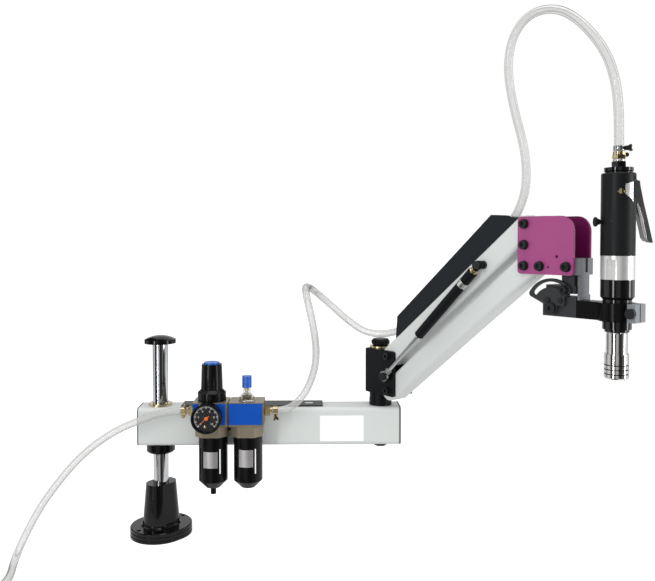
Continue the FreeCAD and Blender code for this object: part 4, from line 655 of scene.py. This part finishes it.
join(share, "Result", cards, "Fac")
wall = node(tree, "ShaderNodeMapRange", from_min=0.85, from_max=0.95, to_min=0.0, to_max=1.0)
join(apart, "Y", wall, "Value")
mirror_level = maths(tree, "MAXIMUM")
join(cards, "Color", mirror_level, 0)
join(wall, "Result", mirror_level, 1)
by_mirror = node(tree, "ShaderNodeMix", data_type="FLOAT")
by_camera = node(tree, "ShaderNodeMix", data_type="FLOAT")
plain = maths(tree, "MAXIMUM")
join(rays, "Is Camera Ray", plain, 0)
join(rays, "Is Transmission Ray", plain, 1)
by_mirror.inputs[2].default_value = ROOM_LEVEL
join(rays, "Is Glossy Ray", by_mirror, 0)
join(mirror_level, 0, by_mirror, 3)
join(plain, 0, by_camera, 0)
join(by_mirror, 0, by_camera, 2)
by_camera.inputs[3].default_value = 1.0
join(by_camera, 0, backdrop, "Strength")
backdrop.inputs["Color"].default_value = (1, 1, 1, 1)
room.cycles.sampling_method = "NONE"


def soft_box(name, place, aim, width, height, watts):
    lamp = bpy.data.lights.new(name, "AREA")
    lamp.shape = "RECTANGLE"
    lamp.size = width
    lamp.size_y = height
    lamp.energy = watts
    made = bpy.data.objects.new(name, lamp)
    bpy.context.scene.collection.objects.link(made)
    made.location = place
    made.rotation_euler = (Vector(aim) - Vector(place)).to_track_quat("-Z", "Y").to_euler()
    return made


soft_box("left_soft_box", (-1.35, -2.2, 0.8), (0.3, -0.15, 0.4), 0.35, 2.2, 27)
soft_box("right_soft_box", (2.6, -1.1, 0.8), (0.45, -0.2, 0.45), 0.5, 2.2, 24)
soft_box("top_soft_box", (0.3, -0.4, 2.6), (0.4, -0.15, 0.3), 2.2, 1.2, 20)
bpy.context.scene.view_settings.view_transform = "Standard"
print("lamps ready")

# %% [markdown]
# ## Small pieces
# From here on, each step adds what the solids leave out. They are made as meshes from outlines:
# turned pieces from a half profile, flat pieces from a rounded outline with a small bevel, and
# sheets bent round an axis.

# %% Helpers for turned and flat pieces
def keep_mesh(name, shape, material, body, place=world_frame, smooth=True):
    """Turns a bmesh into a piece: places it, gives it its finish and hangs it on a body."""
    bmesh.ops.recalc_face_normals(shape, faces=shape.faces[:])
    mesh = bpy.data.meshes.new(name)
    shape.to_mesh(mesh)
    shape.free()
    mesh.transform(place)
    mesh.materials.append(material)
    made = bpy.data.objects.new(name, mesh)
    bpy.context.scene.collection.objects.link(made)
    if smooth:
        mesh.shade_smooth()
        mesh.set_sharp_from_angle(angle=math.radians(35))
    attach(made, body)
    return made


def bent_sheet(inner, outer, edges):
    """A sheet bent round Z, in millimetres; edges are (degrees round, one height, the other)."""
    shape = bmesh.new()
    rows = []
    for turn, one, other in edges:
        angle = math.radians(turn)
        rows.append([shape.verts.new((r * MM * math.cos(angle), r * MM * math.sin(angle), z * MM))
                     for r in (inner, outer) for z in (one, other)])
    for row, after in zip(rows, rows[1:]):
        for a, b in ((0, 1), (1, 3), (3, 2), (2, 0)):
            shape.faces.new((row[a], row[b], after[b], after[a]))
    for row in (rows[0], rows[-1]):
        shape.faces.new((row[0], row[1], row[3], row[2]))
    return shape


def turned(profile, steps=48):
    """A turned shape from (radius, height) points in millimetres, round Z."""
    shape = bmesh.new()
    rings = []
    for radius, height in profile:
        if radius == 0:
            rings.append([shape.verts.new((0, 0, height * MM))])
            continue
        rings.append([shape.verts.new((radius * MM * math.cos(2 * math.pi * step / steps),
                                       radius * MM * math.sin(2 * math.pi * step / steps),
                                       height * MM)) for step in range(steps)])
    for low, high in zip(rings, rings[1:]):
        for step in range(steps):
            after = (step + 1) % steps
            corners = [low[step % len(low)], low[after % len(low)],
                       high[after % len(high)], high[step % len(high)]]
            unique = list(dict.fromkeys(corners))
            if len(unique) > 2:
                shape.faces.new(unique)
    return shape


def flat(outline, thickness, bevel=0.3, bevel_steps=2):
    """A plate in XZ from outline points in millimetres, from y = 0 towards -Y, with soft edges."""
    shape = bmesh.new()
    base = [shape.verts.new((x * MM, 0, z * MM)) for x, z in outline]
    face = shape.faces.new(base)
    raised = bmesh.ops.extrude_face_region(shape, geom=[face])
    moved = [item for item in raised["geom"] if isinstance(item, bmesh.types.BMVert)]
    bmesh.ops.translate(shape, verts=moved, vec=(0, -thickness * MM, 0))
    if bevel:
        bmesh.ops.bevel(shape, geom=shape.edges[:], offset=bevel * MM, segments=bevel_steps,
                        profile=0.5, affect="EDGES", clamp_overlap=True)
    return shape


def rounded_box(x0, x1, z0, z1, radius, steps=6):
    """Outline of a rectangle with round corners."""
    points = []
    for cx, cz, start in ((x1 - radius, z0 + radius, -90), (x1 - radius, z1 - radius, 0),
                          (x0 + radius, z1 - radius, 90), (x0 + radius, z0 + radius, 180)):
        for step in range(steps + 1):
            angle = math.radians(start + 90 * step / steps)
            points.append((cx + radius * math.cos(angle), cz + radius * math.sin(angle)))
    return points


def at(frame_matrix, x=0.0, y=0.0, z=0.0):
    """A frame moved to a place given in its own millimetres."""
    return frame_matrix @ Matrix.Translation((x * MM, y * MM, z * MM))


facing_front = Matrix.Rotation(math.radians(90), 4, "X")     # turns +Z to -Y
print("helpers ready")

# %% [markdown]
# ### Bare sticker and end cap screws
# A white vinyl sticker sits on the front of the arm. It is a sheet 0.25 mm thick with rounded
# corners, and it stays bare. Two dark domed screws hold each end cap.

# %% Sticker and cap screws
ARM_FRONT = -30.5
sticker = flat(rounded_box(318.0, 404.0, 191.7, 242.4, 1.5), 0.25, 0.08, 1)
keep_mesh("bare_sticker", sticker, white_vinyl, "lower_arm",
          at(world_frame, 0, ARM_FRONT + 0.02))


def pan_head(radius, height):
    """A small domed screw head on Z, with a hollow drive."""
    rise = [(radius, 0), (radius, height * 0.45), (radius * 0.86, height * 0.82),
            (radius * 0.55, height), (radius * 0.42, height), (radius * 0.36, height * 0.45),
            (0, height * 0.4)]
    return turned([(0, 0)] + rise, 24)


facing_right = Matrix.Rotation(math.radians(90), 4, "Y")     # turns +Z to +X
facing_left = Matrix.Rotation(math.radians(-90), 4, "Y")
CAP_RIGHT_X = 478.0
CAP_LEFT_X = -40.5
for index, height in enumerate((234.4, 205.4)):
    keep_mesh(f"cap_screw_right_{index}", pan_head(3.6, 2.4), bolt_black, "lower_arm",
              at(world_frame, CAP_RIGHT_X - 0.1, -6.0, height) @ facing_right)
    keep_mesh(f"cap_screw_left_{index}", pan_head(3.6, 1.6), bolt_black, "lower_arm",
              at(world_frame, CAP_LEFT_X + 0.1, -6.0, height) @ facing_left)
print("sticker and cap screws made")

# %% [markdown]
# ### Gauge face
# A gauge is a card with a scale, a needle and a glass. The scale runs 270 degrees: a long mark at
# every fifth place, short ones between, and plain numbers. The marks are thin raised bars, so they
# stay sharp at any size.

# %% Dial card, marks and numbers
GAUGE_X, GAUGE_Z = 105.2, 255.8
DIAL_Y = -104.5
DIAL_RADIUS = 25.4
card = turned([(0, 0), (DIAL_RADIUS, 0), (DIAL_RADIUS, 0.3), (0, 0.3)], 64)
keep_mesh("dial_card", card, dial_black, "lower_arm",
          at(world_frame, GAUGE_X, DIAL_Y + 0.05, GAUGE_Z) @ facing_front)
SCALE_START = 225.0
SCALE_SWEEP = 270.0
MARKS = 50
MARK_END = 22.8
NUMBER_RADIUS = 14.6
marks = bmesh.new()
for index in range(MARKS + 1):
    angle = math.radians(SCALE_START - SCALE_SWEEP * index / MARKS)
    long_mark = index % 5 == 0
    inner = 18.6 if long_mark else 20.6
    half = 0.55 if long_mark else 0.28
    out = Vector((math.cos(angle), 0, math.sin(angle)))
    across = Vector((-math.sin(angle), 0, math.cos(angle)))
    corners = [(out * r + across * side * half) * MM for r, side in (
        (inner, -1), (MARK_END, -1), (MARK_END, 1), (inner, 1))]
    front = [marks.verts.new(corner + Vector((0, -0.12 * MM, 0))) for corner in corners]
    back = [marks.verts.new(corner) for corner in corners]
    marks.faces.new(front)
    marks.faces.new(back[::-1])
    for place in range(4):
        after = (place + 1) % 4
        marks.faces.new((front[place], back[place], back[after], front[after]))
keep_mesh("dial_marks", marks, dial_white, "lower_arm",
          at(world_frame, GAUGE_X, DIAL_Y - 0.24, GAUGE_Z), smooth=False)
for index in range(6):
    angle = math.radians(SCALE_START - SCALE_SWEEP * index / 5)
    text = bpy.data.curves.new(f"dial_number_{index}", "FONT")
    text.body = str(index * 2)
    text.size = 5.2 * MM
    text.extrude = 0.06 * MM
    text.align_x = "CENTER"
    text.align_y = "CENTER"
    text.materials.append(dial_white)
    made = bpy.data.objects.new(f"dial_number_{index}", text)
    bpy.context.scene.collection.objects.link(made)
    made.matrix_world = (at(world_frame, GAUGE_X + NUMBER_RADIUS * math.cos(angle), DIAL_Y - 0.33,
                            GAUGE_Z + NUMBER_RADIUS * math.sin(angle)) @ facing_front)
    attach(made, "lower_arm")
print("dial marks", MARKS + 1)

# %% [markdown]
# The needle turns on a small hub, a brass screw sits low on the card, and a glass and a black bezel
# close the gauge.

# %% Needle hub, dial screw, glass and bezel
hub = turned([(0, 0), (3.6, 0), (3.6, 0.9), (2.6, 1.6), (0, 1.8)], 32)
keep_mesh("needle_hub", hub, needle_orange, "gauge_needle",
          at(world_frame, GAUGE_X, -105.9, GAUGE_Z) @ facing_front)
plug_screw = turned([(0, 0), (3.0, 0), (3.0, 0.7), (2.2, 1.2), (0.9, 1.2), (0.8, 0.7), (0, 0.7)], 24)
keep_mesh("dial_screw", plug_screw, brass, "lower_arm",
          at(world_frame, GAUGE_X - 1.6, DIAL_Y - 0.25, GAUGE_Z - 15.8) @ facing_front)
glass = turned([(0, 0), (DIAL_RADIUS, 0), (DIAL_RADIUS, 0.9), (22.0, 1.5), (0, 1.9)], 64)
keep_mesh("gauge_window", glass, gauge_glass, "lower_arm",
          at(world_frame, GAUGE_X, -107.9, GAUGE_Z) @ facing_front)
bezel = turned([(25.5, 0), (27.0, 0.0), (28.0, -0.8), (28.15, -2.5), (28.15, -4.0), (27.9, -4.0),
                (27.9, -2.5), (27.0, -0.6), (25.5, -0.4)], 64)
keep_mesh("gauge_bezel", bezel, black_plastic, "lower_arm",
          at(world_frame, GAUGE_X, -109.9, GAUGE_Z) @ facing_front)
print("gauge finished")

# %% [markdown]
# ### Knob disc, bowl labels and window strips
# The pressure knob has a dished blue disc on top. Each bowl guard carries a blank silver label that
# bends round it, and a narrow window with a pale strip behind it.

# %% Air unit trim
FRL_X, OILER_X, FRL_Y = 110.4, 177.4, -60.5
BOWL_X_OFF = 2.0
KNOB_TOP = 354.1
disc = turned([(14.9, -3.0), (14.9, 0.2), (14.2, 0.9), (12.6, 0.9), (11.8, 0.4), (4.0, 0.3),
               (2.6, 0.9), (0, 1.0)], 48)
keep_mesh("knob_disc", disc, blue_plastic, "regulator_knob",
          at(world_frame, FRL_X, FRL_Y, KNOB_TOP - 0.3))


def wrapped(radius, start_deg, end_deg, z0, z1, thickness, steps=14):
    """A sheet bent round an upright cylinder, in millimetres."""
    return bent_sheet(radius, radius + thickness, [
        (start_deg + (end_deg - start_deg) * step / steps, z0, z1) for step in range(steps + 1)])


GUARD_RADIUS = 27.6
SLOT_TURN = -55.0
for name, x, low, high in (("filter", FRL_X + BOWL_X_OFF, 156.5, 187.5),
                           ("oiler", OILER_X + BOWL_X_OFF, 158.0, 191.0)):
    label = wrapped(GUARD_RADIUS - 0.03, -124, -66, low, high, 0.25)
    keep_mesh(f"{name}_label", label, silver_label, "lower_arm",
              at(world_frame, x, FRL_Y))
    strip = wrapped(25.3, SLOT_TURN - 2.6, SLOT_TURN + 2.6, 145.0, 192.0, 2.0)
    keep_mesh(f"{name}_window_strip", strip, white_vinyl, "lower_arm",
              at(world_frame, x, FRL_Y))
print("air unit trim made")

# %% [markdown]
# ### Sight glass of the oiler
# Under the blue knob a clear dome shows the drip nozzle: turned brass with a dark steel ring round
# it. Both stand inside the clear solids, and a thin ring seats the dome on the die casting.

# %% Drip nozzle and seat ring
NOZZLE_FOOT = 281.1
nozzle = turned([(0, 0.2), (12.2, 0.2), (12.2, 2.6), (7.0, 4.4), (7.0, 9.0), (3.2, 10.0), (3.2, 17.0),
                 (4.6, 18.0), (4.6, 24.0), (0, 24.0)], 32)
keep_mesh("drip_nozzle", nozzle, brass, "lower_arm",
          at(world_frame, OILER_X, FRL_Y, NOZZLE_FOOT))
sleeve = turned([(7.1, 4.6), (9.2, 5.0), (9.2, 8.6), (7.1, 9.4)], 32)
keep_mesh("nozzle_sleeve", sleeve, bolt_black, "lower_arm",
          at(world_frame, OILER_X, FRL_Y, NOZZLE_FOOT))
seat = turned([(15.05, 0.05), (16.2, 0.05), (16.2, 1.2), (15.6, 1.9), (15.05, 1.9)], 48)
keep_mesh("dome_seat", seat, nickel, "lower_arm",
          at(world_frame, OILER_X, FRL_Y, 281.0))
print("sight glass trim made")

# %% [markdown]
# ### Wing screws of the hose clamps
# Each hose is held on its tail by a clamp with a small worn wing screw. One outline, pressed flat
# with soft edges, serves all three.

# %% Wing screws
wing_outline = [(-1.6, 0), (1.6, 0), (1.9, -2.5), (4.6, -5.0), (5.4, -8.0), (4.4, -10.4),
                (2.6, -10.6), (0.9, -8.2), (0, -7.4), (-0.9, -8.2), (-2.6, -10.6), (-4.4, -10.4),
                (-5.4, -8.0), (-4.6, -5.0), (-1.9, -2.5)]
SCREW_DOWN = 7.5
for name, x, turn in (("left", 57.0, 200.0), ("right", 231.2, -8.0)):
    wing = flat(wing_outline, 3.0, 0.8)
    keep_mesh(f"clamp_wing_{name}", wing, wing_metal, "lower_arm",
              at(world_frame, x, FRL_Y - 4.0, 260.0) @ Matrix.Rotation(math.radians(turn), 4, "Y")
              @ Matrix.Translation((0, 0, -SCREW_DOWN * MM)))
wing = flat([(x, z * 0.85) for x, z in wing_outline], 3.0, 0.8)
keep_mesh("clamp_wing_motor", wing, wing_metal, "tool_arm",
          at(motor_frame, 11.0, 1.5, 254.5) @ Matrix.Rotation(math.radians(-97), 4, "Y"))
print("wing screws made")

# %% [markdown]
# ### Motor trim
# The hose is clamped on a brass tail on top of the motor: a pale seal ring, a brass hexagon and a
# steel band with its black housing.

# %% Seal ring, hexagon and clamp band
GRIP_TOP = 217.6
seal = turned([(6.3, 17.2), (8.4, 17.2), (8.8, 17.8), (8.8, 19.8), (8.2, 20.6), (6.3, 20.6)], 40)
keep_mesh("inlet_seal", seal, nickel, "tool_arm", at(motor_frame, 0, 0, GRIP_TOP))
collar = turned([(8.3, 21.0), (9.4, 21.0), (10.0, 21.8), (10.0, 26.2), (9.2, 27.4), (8.3, 27.4)], 6)
keep_mesh("hose_hexagon", collar, brass, "tool_arm", at(motor_frame, 0, 0, GRIP_TOP))
strap = turned([(7.1, 33.0), (8.1, 33.0), (8.5, 34.2), (8.1, 35.4), (8.1, 37.6), (8.5, 38.8),
                (8.1, 40.0), (7.1, 40.0)], 40)
keep_mesh("clamp_strap", strap, plain_steel, "tool_arm",
          at(motor_frame, 0, 0, GRIP_TOP))
housing = flat(rounded_box(-3.0, 6.0, -3.2, 3.2, 1.4), 7.0, 0.7)
keep_mesh("clamp_housing", housing, bolt_black, "tool_arm",
          at(motor_frame, 9.0, -3.0, GRIP_TOP + 36.5))

# %% [markdown]
# On the grip sit the brass end of the throttle valve and a small screw further down. Beside the
# lever, a sheet of bright steel stands for the lever's side wall in the notch, and its brightness is
# a painted reflection.

# %% Valve end, grip screw and cheek with a painted reflection
GRIP_RADIUS = 24.5


def on_grip(turn, down):
    """A frame on the grip's face: turned about the motor from its right side, +Z outward."""
    facing = Matrix.Rotation(math.radians(turn), 4, "Z") @ Matrix.Rotation(math.radians(90), 4, "Y")
    across = Vector((math.cos(math.radians(turn)), math.sin(math.radians(turn)), 0))
    return motor_frame @ Matrix.Translation(across * GRIP_RADIUS * MM
                                            + Vector((0, 0, (GRIP_TOP - down) * MM))) @ facing


valve = turned([(0, -3.0), (4.6, -3.0), (4.6, 0.3), (3.9, 1.3), (2.2, 1.9), (0, 2.1)], 32)
keep_mesh("valve_end", valve, brass, "tool_arm", on_grip(-103.0, 27.7))
screw = turned([(0, -3.0), (2.4, -3.0), (2.4, 0.3), (1.9, 0.6), (1.0, 0.6), (0.9, -0.9), (0, -0.9)], 24)
keep_mesh("grip_screw", screw, bolt_black, "tool_arm", on_grip(-134.5, 70.5))

# Edges of the cheek: degrees round the grip, then its top and its foot below the grip's top.
CHEEK = [(-90.0, 17.5, 31.5), (-82.0, 16.4, 34.5), (-74.0, 15.2, 36.6), (-66.0, 14.4, 39.5),
         (-60.0, 14.0, 43.5)]
# The cheek is bright steel on a dark lever: a painted reflection of the lever's side wall.
cheek = bent_sheet(GRIP_RADIUS + 0.1, GRIP_RADIUS + 0.9,
                   [(turn, GRIP_TOP - top, GRIP_TOP - foot) for turn, top, foot in CHEEK])
keep_mesh("lever_cheek_painted_reflection", cheek, sleeve_steel, "tool_arm", motor_frame)
print("motor trim made")

# %% [markdown]
# A strip of bright steel on the inner blade of the lever, on the side that faces us, is a painted
# highlight. The sleeve under the grip has one flat for a spanner, open at its foot: each ring of its
# points is pressed in as far as the flat says, and the rings above it stay round. The chuck's sliding
# sleeve has three grooves, and black rings in them are their painted shade.

# %% Painted lever highlight, sleeve with its flat, and painted groove shade
LEVER_HALF = 6.0
STRIP_THICK = 0.6
blade = [(26.2, 44.0), (29.6, 51.6), (35.1, 70.6), (39.5, 89.6), (41.0, 99.4), (40.2, 99.2),
         (36.2, 94.6), (33.2, 82.2), (29.8, 68.5), (26.5, 53.8), (24.6, 46.5)]
# A bright strip on the lever's near side: a painted highlight.
strip = flat([(x, GRIP_TOP - down) for x, down in blade], STRIP_THICK, 0.15)
keep_mesh("lever_painted_highlight", strip, sleeve_steel, "throttle_lever",
          at(motor_frame, 0, -LEVER_HALF, 0))

SLEEVE_RADIUS, SLEEVE_BORE, SLEEVE_HEIGHT, SLEEVE_LOW = 24.1, 18.0, 35.2, 61.4
FLAT_DEPTH, FLAT_HEIGHT, FLAT_TURN = 1.3, 29.5, -134.5


def flatted(radius, height, bore, steps=96):
    """A ring with one flat milled from its foot upward."""
    shape = bmesh.new()
    out_x, out_y = math.cos(math.radians(FLAT_TURN)), math.sin(math.radians(FLAT_TURN))
    rows = []
    for wide, z, limit in ((bore, 0, bore), (radius, 0, radius - FLAT_DEPTH),
                           (radius, FLAT_HEIGHT, radius - FLAT_DEPTH),
                           (radius, FLAT_HEIGHT + 0.4, radius), (radius, height, radius),
                           (bore, height, bore)):
        row = []
        for step in range(steps):
            x = wide * math.cos(2 * math.pi * step / steps)
            y = wide * math.sin(2 * math.pi * step / steps)
            over = max(0.0, x * out_x + y * out_y - limit)
            row.append(shape.verts.new(((x - over * out_x) * MM, (y - over * out_y) * MM, z * MM)))
        rows.append(row)
    for low, high in zip(rows, rows[1:] + rows[:1]):
        for step in range(steps):
            after = (step + 1) % steps
            shape.faces.new((low[step], low[after], high[after], high[step]))
    return shape


sleeve = keep_mesh("sleeve_with_flat", flatted(SLEEVE_RADIUS, SLEEVE_HEIGHT, SLEEVE_BORE),
                   sleeve_steel, "tool_arm", at(motor_frame, 0, 0, SLEEVE_LOW))
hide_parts("motor_sleeve")

GROOVES = (-78.9, -72.3, -65.7)
GROOVE_FLOOR, GROOVE_EDGE, GROOVE_HALF = 16.0, 17.15, 1.05
# Black rings in the grooves: their painted shade.
for place, height in zip(("low", "middle", "high"), GROOVES):
    ring = turned([(GROOVE_FLOOR, -GROOVE_HALF), (GROOVE_EDGE, -GROOVE_HALF),
                   (GROOVE_EDGE, GROOVE_HALF), (GROOVE_FLOOR, GROOVE_HALF)], 64)
    keep_mesh(f"chuck_groove_painted_shade_{place}", ring, bar_black, "chuck_sleeve",
              at(motor_frame, 0, 0, height))
print("lever strip, sleeve and grooves made")

# %% [markdown]
# A thin sheet in the arm's pale paint lies on the bracket plate near its end.

# %% Pale sheet on the bracket plate
DECK_TOP = 261.6
pale_sheet = flat(rounded_box(288.0, 305.0, -5.5, 3.5, 4.4), 0.15, 0)
keep_mesh("deck_pale_sheet", pale_sheet, arm_paint, "lower_arm",
          at(world_frame, 0, 0, DECK_TOP) @ Matrix.Rotation(math.radians(-90), 4, "X"))
print("deck slot made")

# %% [markdown]
# ### Gas spring trim
# Near its upper end the black cylinder has a bright band, and its rod runs out through a bright
# guide. Both are turned rings on the line between the spring's two ends.

# %% Bands on the gas spring
SPRING_OUT = -34.0
stud = arm_frame @ Vector((PIVOT_OUT, SPRING_OUT * MM, HIGH_PIVOT_Z - 38.0 * MM))
bolt = link_frame @ Vector((293.0 * MM, SPRING_OUT * MM, 0))
spring_way = (bolt - stud).normalized()
SPRING_LENGTH = (bolt - stud).length / MM
spring_frame = Matrix.Translation(stud) @ spring_way.to_track_quat("Z", "Y").to_matrix().to_4x4()
SPRING_BODY = 172.0
body_end = SPRING_LENGTH - 18.0
band = turned([(8.9, 0), (9.35, 0.5), (9.35, 10.5), (8.9, 11.0)], 40)
keep_mesh("spring_band", band, nickel, "spring_body",
          at(spring_frame, 0, 0, body_end - 35.0))
neck = turned([(5.3, 0.1), (7.2, 0.1), (7.6, 0.8), (7.6, 3.4), (6.6, 4.4), (6.2, 7.6), (5.3, 8.0)], 32)
keep_mesh("spring_neck", neck, brass, "spring_body", at(spring_frame, 0, 0, body_end))
guide = turned([(3.7, -0.1), (6.4, -0.1), (7.4, -1.2), (7.4, -2.4), (5.0, -3.6), (3.7, -3.6)], 32)
keep_mesh("rod_guide", guide, plain_steel, "spring_body",
          at(spring_frame, 0, 0, body_end - SPRING_BODY))
print("spring length", round(SPRING_LENGTH, 1), "mm")
